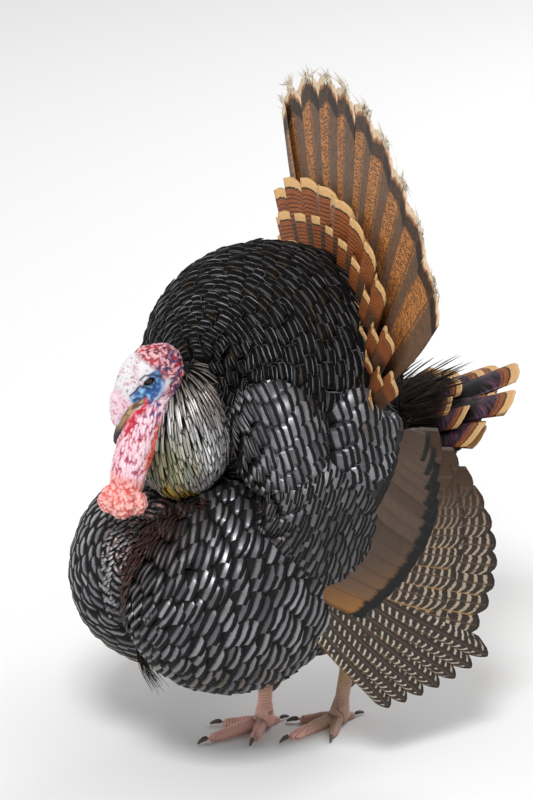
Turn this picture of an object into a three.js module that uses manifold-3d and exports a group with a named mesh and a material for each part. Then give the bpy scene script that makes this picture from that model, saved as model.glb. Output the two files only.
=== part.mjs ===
// A wild turkey tom, life size, standing still in full strut: head drawn back, breast puffed out,
// wings lowered, back feathers raised and the tail spread into a fan that leans to the bird's right.
// Millimetres. X points to the bird's left, Y to its rear and Z up. The shapes are laid out round a
// point on the floor between the feet, and the finished group is then centred on its own box.
import * as THREE from "three";
import { mergeVertices } from "three/addons/utils/BufferGeometryUtils.js";
import Module from "manifold-3d";

const wasm = await Module();
wasm.setup();

// ---------------------------------------------------------------- driving dimensions
const GAP = 0.45; // between neighbouring parts, along their normals
const degrees = THREE.MathUtils.degToRad;
const lerp = THREE.MathUtils.lerp;
const vec = (x, y, z) => new THREE.Vector3(x, y, z);
const LEFT = vec(1, 0, 0);
const REAR = vec(0, 1, 0);
const UP = vec(0, 0, 1);
const flat = (x, y) => new THREE.Vector2(x, y);

// plumage masses: centre, radii and, where it is turned, the turn about X, Y and Z in degrees
const TRUNK = { centre: [0, 12, 245], radii: [138, 185, 145] };
const BREAST_LOBE = { centre: [54, -135, 238], radii: [112, 146, 128] };
const MANTLE = { centre: [-18, -26, 468], radii: [167, 146, 151], turn: [0, -10, 0] };
const RUMP = { centre: [-8, 74, 345], radii: [100, 92, 100] };
const RUFF = { centre: [4, -170, 434], radii: [58, 58, 86], turn: [-14, 0, 0] };
const SHOULDER = { centre: [102, -108, 434], radii: [56, 60, 76], turn: [8, -10, 0] };
const SCAPULARS = { centre: [124, -22, 424], radii: [50, 66, 84], turn: [0, -6, 0] };
const FOREWING = { centre: [128, -72, 330], radii: [46, 84, 98], turn: [0, 0, -8] };
const VENT = { centre: [30, 150, 372], radii: [74, 84, 40], turn: [16, 0, -27] };

// head frame: yaw to the bird's right and pitch below the horizon, about the middle of the skull
const SKULL = vec(0, -225, 505);
const HEAD_YAW = degrees(28);
const HEAD_PITCH = degrees(53);
const EYE = { along: -2, above: 2, side: 16.2, radius: 6.2 };

// tail fan: where its quills meet, how the fan is turned, and its two halves
const FAN_BASE = vec(0, 60, 358);
const FAN_PITCH = 3.6;
const FAN_ROLL = -32.5;
const FAN_YAW = -28.5;
const FAN_SWEEP = degrees(9);
const FAN_HALF_SPAN = degrees(84);
const RECTRIX = { perSide: 9, root: 60, reach: 443, notch: 14, thick: 3, ahead: 0, yaw: FAN_YAW };
const TAIL_COVERT = { perSide: 8, root: 50, reach: 328, notch: 12, thick: 5, ahead: 12, yaw: -24.5 };
const UNDERTAIL = { count: 7, spread: 52, rise: 22, root: 40, reach: 238, sides: 0.62, thick: 6 };

// lowered wing: a plane beside the body that leans out to the rear and towards the floor
const WING_POINT = vec(150, -80, 250);
const WING_SPLAY = 0.17; // sideways per unit to the rear
const WING_FLARE = 0.08; // sideways per unit down
const WING_LAYER = 5; // thickness of each row of wing feathers
const PRIMARY = { count: 9, pivot: [-136, 133], first: -36, last: -53.5, reach: [440, 372], width: 34, notch: 26 };
const SECONDARY = { count: 8, width: 40, notch: 10 };
const GREATER_COVERT = { count: 8, width: 40, notch: 12 };

// legs: the ball of each foot, its heading and the toes
const FEET = [
  { side: "left", ball: [24, 46], heading: 4, knee: [30, 66, 150] },
  { side: "right", ball: [-23, -35], heading: -3, knee: [-27, -24, 150] },
];
const TARSUS_RADIUS = 7.2;
const TOES = [
  { name: "middle", turn: 0, length: 82, radius: 6.4 },
  { name: "inner", turn: -40, length: 48, radius: 5.8 },
  { name: "outer", turn: 38, length: 50, radius: 5.6 },
  { name: "hallux", turn: 176, length: 24, radius: 4.6 },
];
const CLAW_LENGTH = 17;
const SPUR_LENGTH = 20;

// ---------------------------------------------------------------- solids
/** A closed three.js geometry as a solid, with its shared corners merged. */
function toSolid(geometry) {
  const plain = geometry.clone();
  plain.deleteAttribute("normal");
  plain.deleteAttribute("uv");
  const merged = mergeVertices(plain, 1e-3);
  const corners = Array.from(merged.index.array);
  const triangles = [];
  for (let i = 0; i < corners.length; i += 3) {
    const [a, b, c] = corners.slice(i, i + 3);
    if (a !== b && b !== c && c !== a) triangles.push(a, b, c);
  }
  const mesh = new wasm.Mesh({
    numProp: 3,
    vertProperties: Float32Array.from(merged.attributes.position.array),
    triVerts: Uint32Array.from(triangles),
  });
  return new wasm.Manifold(mesh);
}

/** A solid as a three.js geometry with shared corners. */
function toGeometry(solid) {
  const mesh = solid.getMesh();
  const geometry = new THREE.BufferGeometry();
  geometry.setAttribute("position", new THREE.BufferAttribute(mesh.vertProperties, 3));
  geometry.setIndex(new THREE.BufferAttribute(mesh.triVerts, 1));
  return geometry;
}

/** The same solid with every corner moved out along its normal. */
function grown(solid, distance = GAP) {
  const geometry = toGeometry(solid);
  geometry.computeVertexNormals();
  const { position, normal } = geometry.attributes;
  for (let i = 0; i < position.count; i += 1) {
    position.setXYZ(
      i,
      position.getX(i) + normal.getX(i) * distance,
      position.getY(i) + normal.getY(i) * distance,
      position.getZ(i) + normal.getZ(i) * distance,
    );
  }
  return toSolid(geometry);
}

const union = (solids) => solids.reduce((whole, piece) => whole.add(piece));

/** What is left of a solid clear of its neighbours: its largest single body. */
function clearOf(solid, neighbours) {
  const rest = neighbours.reduce((left, other) => left.subtract(grown(other)), solid);
  return rest.decompose().reduce((best, piece) => (piece.volume() > best.volume() ? piece : best));
}

/** An ellipsoid with its turn about X, Y and Z in degrees. */
function ellipsoid({ centre, radii, turn = [0, 0, 0] }, columns = 24, rows = 14) {
  const geometry = new THREE.SphereGeometry(1, columns, rows);
  geometry.rotateX(Math.PI / 2);
  geometry.scale(...radii);
  geometry.applyMatrix4(new THREE.Matrix4().makeRotationFromEuler(new THREE.Euler(...turn.map(degrees))));
  geometry.translate(...centre);
  return toSolid(geometry);
}

/** The same mass on the other side of the body. */
function mirrored({ centre, radii, turn = [0, 0, 0] }) {
  return { centre: [-centre[0], centre[1], centre[2]], radii, turn: [turn[0], -turn[1], -turn[2]] };
}

/**
 * A round body along a smooth line. Each station gives its point, its half width across and its
 * half height; the body closes to a point at both ends.
 */
function loft(stations, side, sides = 12, rings = 14) {
  const line = new THREE.CatmullRomCurve3(stations.map((station) => station.point));
  const sizes = new THREE.CatmullRomCurve3(stations.map(({ across, high }) => vec(across, high, 0)));
  const profile = [new THREE.Vector2(0, 0)];
  for (let i = 1; i < rings; i += 1) profile.push(new THREE.Vector2(1, i / rings));
  profile.push(new THREE.Vector2(0, 1));
  const geometry = new THREE.LatheGeometry(profile, sides);
  const position = geometry.attributes.position;
  const tangent = vec(0, 0, 0);
  const over = vec(0, 0, 0);
  const across = vec(0, 0, 0);
  for (let i = 0; i < position.count; i += 1) {
    const t = position.getY(i);
    const size = sizes.getPoint(t);
    const point = line.getPoint(t);
    line.getTangent(t, tangent);
    over.crossVectors(tangent, side).normalize();
    across.crossVectors(over, tangent).normalize();
    point.addScaledVector(across, position.getX(i) * size.x);
    point.addScaledVector(over, position.getZ(i) * size.y);
    position.setXYZ(i, point.x, point.y, point.z);
  }
  const solid = toSolid(geometry);
  return solid.volume() > 0 ? solid : toSolid(turnedInsideOut(geometry));
}

function turnedInsideOut(geometry) {
  const index = geometry.index;
  for (let i = 0; i < index.count; i += 3) {
    const first = index.getX(i);
    index.setX(i, index.getX(i + 1));
    index.setX(i + 1, first);
  }
  return geometry;
}

/**
 * The outline of a row of overlapping feathers, given each one's root and tip on a flat plane: out
 * along the first, round every tip with a notch before the next, and back along the last.
 */
function rowShape(feathers, width, notch) {
  const ways = feathers.map(({ root, tip }) => tip.clone().sub(root).normalize());
  const across = ways.map((way) => flat(way.y, -way.x));
  const firstToLast = feathers.at(-1).tip.clone().sub(feathers[0].tip);
  const hand = Math.sign(across[0].dot(firstToLast)) || 1;
  const edge = (i, out, back) =>
    feathers[i].tip
      .clone()
      .addScaledVector(across[i], (hand * out * width) / 2)
      .addScaledVector(ways[i], -back);
  const last = feathers.length - 1;
  const outline = new THREE.Shape();
  outline.moveTo(...feathers[0].root);
  let from = edge(0, -1, notch);
  outline.lineTo(...from);
  feathers.forEach(({ tip }, i) => {
    const between = i < last && tip.clone().lerp(feathers[i + 1].tip, 0.5).addScaledVector(ways[i], -notch);
    const to = between || edge(last, 1, notch);
    const control = tip.clone().multiplyScalar(2).addScaledVector(from.clone().add(to), -0.5);
    outline.quadraticCurveTo(...control, ...to);
    from = to;
  });
  feathers.toReversed().forEach(({ root }, i) => {
    if (i % 2 === 0 && i < last) outline.lineTo(...root);
  });
  return outline;
}

/** A plate of even thickness on the plane of two axes. */
function plate(outline, thick, right, up, origin) {
  const geometry = new THREE.ExtrudeGeometry(outline, { depth: thick, bevelEnabled: false, curveSegments: 3 });
  const normal = vec(0, 0, 0).crossVectors(right, up);
  geometry.applyMatrix4(new THREE.Matrix4().makeBasis(right, up, normal).setPosition(origin));
  return toSolid(geometry);
}

// ---------------------------------------------------------------- the model
const turkey = new THREE.Group();
turkey.name = "wild_turkey";

/** Adds one named part, placed at the middle of its own box. */
function addPart(name, solid, { colour, roughness = 0.6, metalness = 0 }) {
  const geometry = toGeometry(solid);
  geometry.computeBoundingBox();
  const middle = geometry.boundingBox.getCenter(vec(0, 0, 0));
  geometry.translate(-middle.x, -middle.y, -middle.z);
  geometry.computeVertexNormals();
  const material = new THREE.MeshStandardMaterial({ color: colour, roughness, metalness });
  const mesh = new THREE.Mesh(geometry, material);
  mesh.name = name;
  mesh.position.copy(middle);
  turkey.add(mesh);
}

const PLUMAGE = { colour: 0x2b2825, roughness: 0.42, metalness: 0.25 };
const MANTLE_PLUMAGE = { colour: 0x161514, roughness: 0.5, metalness: 0.2 };
const RUFF_PLUMAGE = { colour: 0x77736a, roughness: 0.4, metalness: 0.3 };
const BRONZE_PLUMAGE = { colour: 0x5d4a38, roughness: 0.5, metalness: 0.2 };
const BARRED_QUILL = { colour: 0x6d6459, roughness: 0.7 };
const TAIL_QUILL = { colour: 0x6b4c33, roughness: 0.7 };
const TAIL_COVERTS = { colour: 0x8a4a20, roughness: 0.6 };
const UNDERTAIL_PLUMAGE = { colour: 0x3a2a26, roughness: 0.6 };
const HEAD_SKIN = { colour: 0xd9dde2, roughness: 0.5 };
const NECK_SKIN = { colour: 0xd98c94, roughness: 0.5 };
const CARUNCLE_SKIN = { colour: 0xd8433f, roughness: 0.45 };
const EYE_BLACK = { colour: 0x1b120d, roughness: 0.08 };
const HORN = { colour: 0x8f6f4c, roughness: 0.45 };
const LEG_SCALES = { colour: 0xb4746a, roughness: 0.55 };
const CLAW_HORN = { colour: 0x3d352e, roughness: 0.45 };

// ---------------------------------------------------------------- head
const headAlong = vec(
  -Math.sin(HEAD_YAW) * Math.cos(HEAD_PITCH),
  -Math.cos(HEAD_YAW) * Math.cos(HEAD_PITCH),
  -Math.sin(HEAD_PITCH),
);
const headSide = vec(Math.cos(HEAD_YAW), -Math.sin(HEAD_YAW), 0);
const headUp = vec(0, 0, 0).crossVectors(headAlong, headSide);

/** A point of the head: along the bill, above the bill and to the bird's left. */
function onHead(along, above, side = 0) {
  return SKULL.clone()
    .addScaledVector(headAlong, along)
    .addScaledVector(headUp, above)
    .addScaledVector(headSide, side);
}

/** A body along the head from rows of [along, top, bottom, half width]. */
function headLoft(rows, sides, rings, side = 0) {
  const stations = rows.map(([along, top, bottom, across]) => ({
    point: onHead(along, (top + bottom) / 2, side),
    across,
    high: (top - bottom) / 2,
  }));
  return loft(stations, headSide, sides, rings);
}

function headSolids() {
  const skull = headLoft(
    [
      [-47, -6, -14, 5],
      [-40, 10, -26, 14],
      [-26, 24, -36, 20],
      [-8, 33, -38, 22],
      [10, 33, -34, 21],
      [28, 24, -28, 16],
      [44, 12, -24, 11],
      [53, 2, -20, 8],
    ],
    12,
    9,
  );
  const billUpper = headLoft(
    [
      [40, -1, -12.5, 8],
      [54, -2.5, -13, 7.2],
      [68, -6, -14, 5.6],
      [80, -11, -17.5, 3],
      [87, -17, -21, 1.4],
    ],
    8,
    7,
  );
  const billLower = headLoft(
    [
      [40, -13.6, -22, 7.4],
      [54, -14.2, -22, 6.6],
      [68, -15.6, -22, 4.8],
      [79, -19.2, -22.6, 2.2],
    ],
    8,
    6,
  );
  const snood = loft(
    [
      { point: onHead(30, 20, -1), across: 5, high: 4 },
      { point: onHead(38, 14, -1), across: 11, high: 9 },
      { point: onHead(50, 4.5, -2), across: 10, high: 9.5 },
      { point: onHead(61, -3, -2), across: 8.5, high: 8 },
      { point: onHead(70, -9, -2), across: 4, high: 4 },
    ],
    headSide,
    8,
    6,
  );
  const eyes = [1, -1].map((hand) => ({
    name: hand > 0 ? "eye_left" : "eye_right",
    solid: ellipsoid(
      {
        centre: onHead(EYE.along, EYE.above, hand * EYE.side).toArray(),
        radii: [EYE.radius, EYE.radius, EYE.radius],
      },
      8,
      5,
    ),
  }));
  return { skull, billUpper, billLower, snood, eyes };
}

const neckLine = [
  { point: vec(0, -196, 512), across: 14, high: 14 },
  { point: vec(0, -202, 494), across: 20, high: 24 },
  { point: vec(0, -214, 470), across: 22, high: 26 },
  { point: vec(0, -229, 446), across: 22, high: 25 },
  { point: vec(0, -243, 420), across: 22, high: 23 },
  { point: vec(0, -254, 392), across: 22, high: 20 },
  { point: vec(0, -258, 368), across: 18, high: 15 },
  { point: vec(0, -259, 358), across: 8, high: 8 },
];

/** Bulbs round the foot of the bare neck, in a ring with one below and one ahead. */
function caruncleSolid() {
  const centre = vec(0, -262, 362);
  const bulbs = [];
  for (let i = 0; i < 5; i += 1) {
    const turn = (i / 5 + 0.1) * Math.PI * 2;
    const radius = 13 + 1.8 * Math.sin(i * 2.4);
    const place = centre.clone().add(vec(20 * Math.cos(turn), 14 * Math.sin(turn), -2 * Math.sin(turn)));
    bulbs.push(ellipsoid({ centre: place.toArray(), radii: [radius, radius, radius * 1.15] }, 6, 4));
  }
  bulbs.push(ellipsoid({ centre: [1, -264, 356], radii: [20, 16, 15] }, 7, 5));
  return union(bulbs);
}

const { skull, billUpper, billLower, snood, eyes } = headSolids();
const neck = loft(neckLine, LEFT, 10, 7);
const caruncles = caruncleSolid();
for (const { name, solid } of eyes) addPart(name, solid, EYE_BLACK);
addPart("beak_upper", billUpper, HORN);
addPart("beak_lower", clearOf(billLower, [billUpper]), HORN);
addPart("head", clearOf(skull, [billUpper, billLower, ...eyes.map((eye) => eye.solid)]), HEAD_SKIN);
addPart("snood", clearOf(snood, [skull, billUpper, billLower]), NECK_SKIN);
addPart("neck", clearOf(neck, [skull, billUpper, billLower, snood]), NECK_SKIN);
addPart("caruncles", clearOf(caruncles, [neck]), CARUNCLE_SKIN);
const headAndNeck = [skull, neck, caruncles, billUpper, billLower, snood];

// ---------------------------------------------------------------- plumage masses
/** The axes of one half of the tail fan: up its middle quill, out to its edge and forward. */
function fanHalf(hand, yaw) {
  const turn = new THREE.Euler(degrees(FAN_PITCH), degrees(FAN_ROLL), degrees(yaw), "ZXY");
  const middle = UP.clone().applyEuler(turn);
  const ahead = REAR.clone().negate().applyEuler(turn);
  const level = LEFT.clone().applyEuler(turn).multiplyScalar(hand);
  const outward = level.clone().multiplyScalar(Math.cos(FAN_SWEEP)).addScaledVector(ahead, -Math.sin(FAN_SWEEP));
  const normal = ahead.clone().multiplyScalar(Math.cos(FAN_SWEEP)).addScaledVector(level, Math.sin(FAN_SWEEP));
  return { middle, outward, normal };
}

/** A block that fills the space behind the coverts of one half of the fan. */
function behindFan(hand) {
  const { middle, outward, normal } = fanHalf(hand, TAIL_COVERT.yaw);
  const face = TAIL_COVERT.ahead + TAIL_COVERT.thick / 2 + 2 * GAP;
  const half = 300;
  const centre = FAN_BASE.clone()
    .addScaledVector(outward, half - face * Math.tan(FAN_SWEEP))
    .addScaledVector(middle, half / 2)
    .addScaledVector(normal, face - half);
  const basis = new THREE.Matrix4().makeBasis(outward, middle, vec(0, 0, 0).crossVectors(outward, middle));
  return toSolid(new THREE.BoxGeometry(2 * half, 2 * half, 2 * half).applyMatrix4(basis.setPosition(centre)));
}

const trunk = ellipsoid(TRUNK, 14, 8);
const breast = ellipsoid(BREAST_LOBE, 14, 8).add(ellipsoid(mirrored(BREAST_LOBE), 14, 8));
const ruff = ellipsoid(RUFF, 12, 7);
const shoulders = [ellipsoid(SHOULDER, 12, 8), ellipsoid(mirrored(SHOULDER), 12, 8)];
const scapulars = [ellipsoid(SCAPULARS, 12, 8), ellipsoid(mirrored(SCAPULARS), 12, 8)];
const forewings = [ellipsoid(FOREWING, 9, 6), ellipsoid(mirrored(FOREWING), 9, 6)];
const mantle = [1, -1].reduce((left, hand) => left.subtract(behindFan(hand)), ellipsoid(MANTLE, 16, 9));
const rump = ellipsoid(RUMP, 12, 8);
const bothSides = ["left", "right"];

addPart("mantle", clearOf(mantle, [ruff]), MANTLE_PLUMAGE);
addPart("trunk", clearOf(trunk, [mantle]), PLUMAGE);
const core = [mantle, trunk, breast];
addPart("breast", clearOf(breast, [mantle, trunk, caruncles, neck]), PLUMAGE);
addPart("rump", clearOf(rump, [mantle, trunk]), MANTLE_PLUMAGE);
addPart("neck_ruff", clearOf(ruff, [...headAndNeck, trunk, breast]), RUFF_PLUMAGE);
bothSides.forEach((side, i) => {
  addPart(`shoulder_${side}`, clearOf(shoulders[i], [...core, ruff, neck]), PLUMAGE);
  addPart(`scapulars_${side}`, clearOf(scapulars[i], [...core, rump, shoulders[i]]), PLUMAGE);
  addPart(`forewing_${side}`, clearOf(forewings[i], [...core, shoulders[i], scapulars[i]]), PLUMAGE);
});
const body = [...core, rump, ruff, ...shoulders, ...scapulars, ...forewings];

// ---------------------------------------------------------------- tail
/** One half of a spread fan, as a plate with a round tip for each feather. */
function halfFan(hand, { perSide, root, reach, notch, thick, ahead, yaw }) {
  const { middle, outward, normal } = fanHalf(hand, yaw);
  const step = FAN_HALF_SPAN / perSide;
  const feathers = Array.from({ length: perSide }, (_, i) => {
    const angle = (i + 0.5) * step;
    const way = flat(Math.sin(angle), Math.cos(angle));
    return { root: way.clone().multiplyScalar(root), tip: way.clone().multiplyScalar(reach) };
  });
  const outline = rowShape(feathers, reach * step, notch);
  const origin = FAN_BASE.clone().addScaledVector(normal, ahead - thick / 2);
  if (hand > 0) return plate(outline, thick, outward, middle, origin.addScaledVector(normal, thick));
  return plate(outline, thick, outward, middle, origin);
}

/** Long coverts that stick out and up behind the fan, over a mass of down. */
function undertailSolid() {
  const turn = new THREE.Euler(degrees(UNDERTAIL.rise), 0, degrees(FAN_YAW), "ZXY");
  const back = REAR.clone().applyEuler(turn);
  const out = LEFT.clone().applyEuler(turn);
  const feathers = Array.from({ length: UNDERTAIL.count }, (_, i) => {
    const share = lerp(1, -1, i / (UNDERTAIL.count - 1));
    const angle = degrees(UNDERTAIL.spread * share);
    const way = flat(Math.sin(angle), Math.cos(angle));
    const reach = UNDERTAIL.reach * lerp(1, UNDERTAIL.sides, share * share);
    return { root: way.clone().multiplyScalar(UNDERTAIL.root), tip: way.clone().multiplyScalar(reach) };
  });
  const outline = rowShape(feathers, 50, 12);
  return ellipsoid(VENT, 10, 6).add(plate(outline, UNDERTAIL.thick, out, back, FAN_BASE.clone()));
}

const rectrices = [halfFan(1, RECTRIX), halfFan(-1, RECTRIX)];
const tailCoverts = [halfFan(1, TAIL_COVERT), halfFan(-1, TAIL_COVERT)];
const undertail = undertailSolid();
addPart("tail_coverts_left", clearOf(tailCoverts[0], body), TAIL_COVERTS);
addPart("tail_coverts_right", clearOf(tailCoverts[1], [...body, tailCoverts[0]]), TAIL_COVERTS);
addPart("tail_left", clearOf(rectrices[0], [...body, ...tailCoverts]), TAIL_QUILL);
addPart("tail_right", clearOf(rectrices[1], [...body, ...tailCoverts, rectrices[0]]), TAIL_QUILL);
addPart("undertail", clearOf(undertail, [...body, ...tailCoverts, ...rectrices]), UNDERTAIL_PLUMAGE);

// ---------------------------------------------------------------- wings
const wingRear = vec(WING_SPLAY, 1, 0).normalize();
const wingUp = vec(-WING_FLARE, 0, 1).addScaledVector(wingRear, WING_FLARE * wingRear.x).normalize();
const wingNormal = vec(0, 0, 0).crossVectors(wingRear, wingUp);

/** A point of the left wing: to the rear, up and out from its reference point. */
function onWing(rear, up, out = 0) {
  return WING_POINT.clone()
    .addScaledVector(wingRear, rear)
    .addScaledVector(wingUp, up)
    .addScaledVector(wingNormal, out);
}

/** A row of wing feathers as a plate, its outer face a given distance out of the wing's plane. */
function wingPlate(feathers, { width, notch }, out) {
  return plate(rowShape(feathers, width, notch), WING_LAYER, wingRear, wingUp, onWing(0, 0, out - WING_LAYER));
}

/** The hand's feathers, spread from a common point. */
function primaries() {
  const [rear, up] = PRIMARY.pivot;
  const feathers = Array.from({ length: PRIMARY.count }, (_, i) => {
    const share = i / (PRIMARY.count - 1);
    const angle = degrees(lerp(PRIMARY.first, PRIMARY.last, share));
    const way = flat(Math.cos(angle), Math.sin(angle));
    const at = (distance) => flat(rear, up).addScaledVector(way, distance);
    return { root: at(150), tip: at(lerp(...PRIMARY.reach, share)) };
  });
  return wingPlate(feathers, PRIMARY, 0);
}

/** Feathers in a row whose roots and tips each run along a curve from the top down. */
function wingRow(row, rootCurve, tipCurve, out) {
  const feathers = Array.from({ length: row.count }, (_, i) => {
    const share = i / (row.count - 1);
    return { root: rootCurve.getPoint(share), tip: tipCurve.getPoint(share) };
  });
  return wingPlate(feathers, row, out);
}

const bezier = (...points) => new THREE.QuadraticBezierCurve(...points.map(([x, y]) => flat(x, y)));
const secondaryRoots = bezier([88, 166], [70, 60], [-10, 22]);
const secondaryTips = bezier([160, 146], [280, 20], [210, -86]);
const covertRoots = bezier([80, 180], [10, 110], [-50, 50]);
const covertTips = bezier([128, 142], [166, 24], [64, -16]);

function leftWing() {
  const layer = WING_LAYER + GAP;
  return [
    { name: "primaries", solid: primaries(), look: BARRED_QUILL },
    { name: "secondaries", solid: wingRow(SECONDARY, secondaryRoots, secondaryTips, layer), look: BARRED_QUILL },
    { name: "wing_coverts", solid: wingRow(GREATER_COVERT, covertRoots, covertTips, 2 * layer), look: BRONZE_PLUMAGE },
  ];
}

const wingSolids = leftWing();
bothSides.forEach((side, i) => {
  const solids = wingSolids.map(({ solid }) => (i === 0 ? solid : solid.mirror([1, 0, 0])));
  wingSolids.forEach(({ name, look }, k) => {
    addPart(`${name}_${side}`, clearOf(solids[k], [...body, undertail]), look);
  });
});

// ---------------------------------------------------------------- beard and legs
const beard = loft(
  [
    { point: vec(0, -226, 190), across: 4, high: 3 },
    { point: vec(0, -238, 168), across: 7, high: 5 },
    { point: vec(0, -232, 142), across: 8, high: 5 },
    { point: vec(0, -214, 116), across: 3, high: 2 },
  ],
  LEFT,
  8,
  6,
);
addPart("beard", clearOf(beard, [breast, trunk]), CLAW_HORN);

const floorSlab = toSolid(new THREE.BoxGeometry(600, 600, 40).translate(0, 0, -20));

/** A toe from the ball of the foot to the claw, its underside resting on the floor. */
function toeSolids(ball, heading, { turn, length, radius }) {
  const way = degrees(heading + turn);
  const level = vec(Math.sin(way), -Math.cos(way), 0);
  const at = (distance, height) => ball.clone().addScaledVector(level, distance).setZ(height);
  const side = vec(0, 0, 0).crossVectors(level, UP);
  const toe = loft(
    [
      { point: at(8, radius * 1.1), across: radius * 0.8, high: radius * 0.9 },
      { point: at(8 + length * 0.2, radius * 1.1), across: radius * 1.05, high: radius * 1.2 },
      { point: at(length * 0.6, radius * 0.8), across: radius, high: radius },
      { point: at(length * 0.9, radius * 0.66), across: radius * 0.78, high: radius * 0.8 },
      { point: at(length, radius * 0.75), across: radius * 0.4, high: radius * 0.4 },
    ],
    side,
    8,
    6,
  );
  const claw = loft(
    [
      { point: at(length + 0.5, radius * 0.8), across: radius * 0.42, high: radius * 0.5 },
      { point: at(length + CLAW_LENGTH * 0.4, radius * 0.98), across: radius * 0.38, high: radius * 0.5 },
      { point: at(length + CLAW_LENGTH * 0.8, radius * 0.62), across: radius * 0.22, high: radius * 0.3 },
      { point: at(length + CLAW_LENGTH, 1.1), across: 0.5, high: 0.5 },
    ],
    side,
    6,
    5,
  );
  return { toe, claw };
}

/** One leg: thigh tuft, shank with its spur, and four toes with their claws. */
function addLeg({ side, ball: [x, y], heading, knee }) {
  const ball = vec(x, y, 0);
  const hock = vec(...knee);
  const shank = loft(
    [
      { point: vec(x, y, -2), across: 11, high: 11 },
      { point: vec(x, y + 1, 12), across: 11, high: 12 },
      { point: ball.clone().lerp(hock, 0.22).setZ(34), across: TARSUS_RADIUS * 0.92, high: TARSUS_RADIUS * 1.1 },
      { point: ball.clone().lerp(hock, 0.6).setZ(84), across: TARSUS_RADIUS, high: TARSUS_RADIUS * 1.2 },
      { point: hock, across: 9, high: 10 },
    ],
    LEFT,
    10,
    8,
  ).subtract(floorSlab);
  const spurRoot = ball.clone().lerp(hock, 0.28).setZ(46);
  const spur = loft(
    [
      { point: spurRoot.clone().add(vec(0, 4, 0)), across: 4.4, high: 4.4 },
      { point: spurRoot.clone().add(vec(0, 12, 1)), across: 3.6, high: 3.6 },
      { point: spurRoot.clone().add(vec(0, 6 + SPUR_LENGTH, 6)), across: 0.6, high: 0.6 },
    ],
    LEFT,
    6,
    4,
  );
  const thigh = ellipsoid({ centre: [hock.x, hock.y - 4, 124], radii: [34, 42, 46] }, 12, 8);
  const toes = TOES.map((toe) => {
    const handed = { ...toe, turn: side === "left" ? toe.turn : -toe.turn };
    return { name: toe.name, ...toeSolids(ball, heading, handed) };
  });
  addPart(`thigh_${side}`, clearOf(thigh, core), PLUMAGE);
  addPart(`shank_${side}`, clearOf(shank, [...core, thigh]), LEG_SCALES);
  addPart(`spur_${side}`, clearOf(spur, [shank]), CLAW_HORN);
  toes.forEach(({ name, toe, claw }, i) => {
    const others = toes.slice(0, i).map((other) => other.toe);
    addPart(`toe_${name}_${side}`, clearOf(toe.subtract(floorSlab), [shank, ...others]), LEG_SCALES);
    addPart(`claw_${name}_${side}`, claw, CLAW_HORN);
  });
}
FEET.forEach(addLeg);

// ---------------------------------------------------------------- origin
const box = new THREE.Box3().setFromObject(turkey);
const middle = box.getCenter(vec(0, 0, 0));
turkey.position.set(-middle.x, -middle.y, -box.min.z);

export default turkey;
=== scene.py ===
"""Finishes a life-size wild turkey tom in full strut around its solid model.

One skin takes the place of the parts of flesh. Over it lie some thousands of feathers, each a thin
closed vane that follows the lie of the coat, and the quills of the wings and the tail fan. The frame
is the solid model's, in metres: X to the bird's left, Y to its rear and Z up. Sizes of feathers and
places that go through spot() are written in millimetres.
"""

import math
from dataclasses import dataclass, replace

import bmesh
import bpy
import numpy as np
from mathutils import Matrix, Vector, noise
from mathutils.bvhtree import BVHTree


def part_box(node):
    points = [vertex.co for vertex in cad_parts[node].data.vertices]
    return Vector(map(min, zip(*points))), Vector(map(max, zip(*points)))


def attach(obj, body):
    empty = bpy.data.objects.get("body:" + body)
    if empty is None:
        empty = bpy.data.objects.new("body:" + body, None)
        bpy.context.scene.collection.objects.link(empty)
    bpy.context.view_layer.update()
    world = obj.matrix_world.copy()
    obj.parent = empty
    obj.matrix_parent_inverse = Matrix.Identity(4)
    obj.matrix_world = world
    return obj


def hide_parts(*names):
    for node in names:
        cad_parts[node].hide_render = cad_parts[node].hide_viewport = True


bl_info = {
    "name": "Wild Turkey Tom",
    "version": (1, 0, 0),
    "blender": (4, 5, 0),
    "location": "3D View > Sidebar > Turkey",
    "description": "Skin, plumage and bare parts of a strutting wild turkey tom",
    "category": "Add Mesh",
}

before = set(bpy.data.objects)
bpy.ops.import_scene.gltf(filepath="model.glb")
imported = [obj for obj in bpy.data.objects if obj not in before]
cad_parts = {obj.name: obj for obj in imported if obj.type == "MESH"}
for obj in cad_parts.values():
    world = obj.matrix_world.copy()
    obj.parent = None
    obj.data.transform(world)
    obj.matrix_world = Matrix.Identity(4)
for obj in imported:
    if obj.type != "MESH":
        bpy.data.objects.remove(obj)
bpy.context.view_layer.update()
SIDES = ("left", "right")
HANDS = {"left": 1, "right": -1}
MM = 0.001
WELD = 1e-5  # corners closer than this are one
TINY = 1e-6


# ------------------------------------------------------------------ places and directions
def spot(*millimetres):
    """A point or vector of the bird's own frame, from millimetres."""
    return np.array(millimetres, dtype=float) * MM


def unit(vectors):
    """Vectors brought to length one."""
    return vectors / np.maximum(np.linalg.norm(vectors, axis=-1, keepdims=True), 1e-12)


def dot(a, b):
    """Row by row scalar product, kept as a column."""
    return np.sum(a * b, axis=-1, keepdims=True)


def turn(x=0.0, y=0.0, z=0.0, order="XYZ"):
    """A rotation matrix from degrees, applied from the last letter of the order to the first."""
    angles = dict(zip("XYZ", (x, y, z)))
    whole = Matrix.Identity(3)
    for axis in order:
        whole = whole @ Matrix.Rotation(math.radians(angles[axis]), 3, axis)
    return np.array(whole)


def smooth(low, high, value):
    """A smooth step from 0 at low to 1 at high."""
    share = np.clip((value - low) / (high - low), 0, 1)
    return share * share * (3 - 2 * share)


def bell(value, middle, width):
    """A smooth hump of height 1."""
    return np.exp(-(((value - middle) / width) ** 2))


def blend(a, b, share):
    """Between a and b."""
    return a + (b - a) * share


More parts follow.
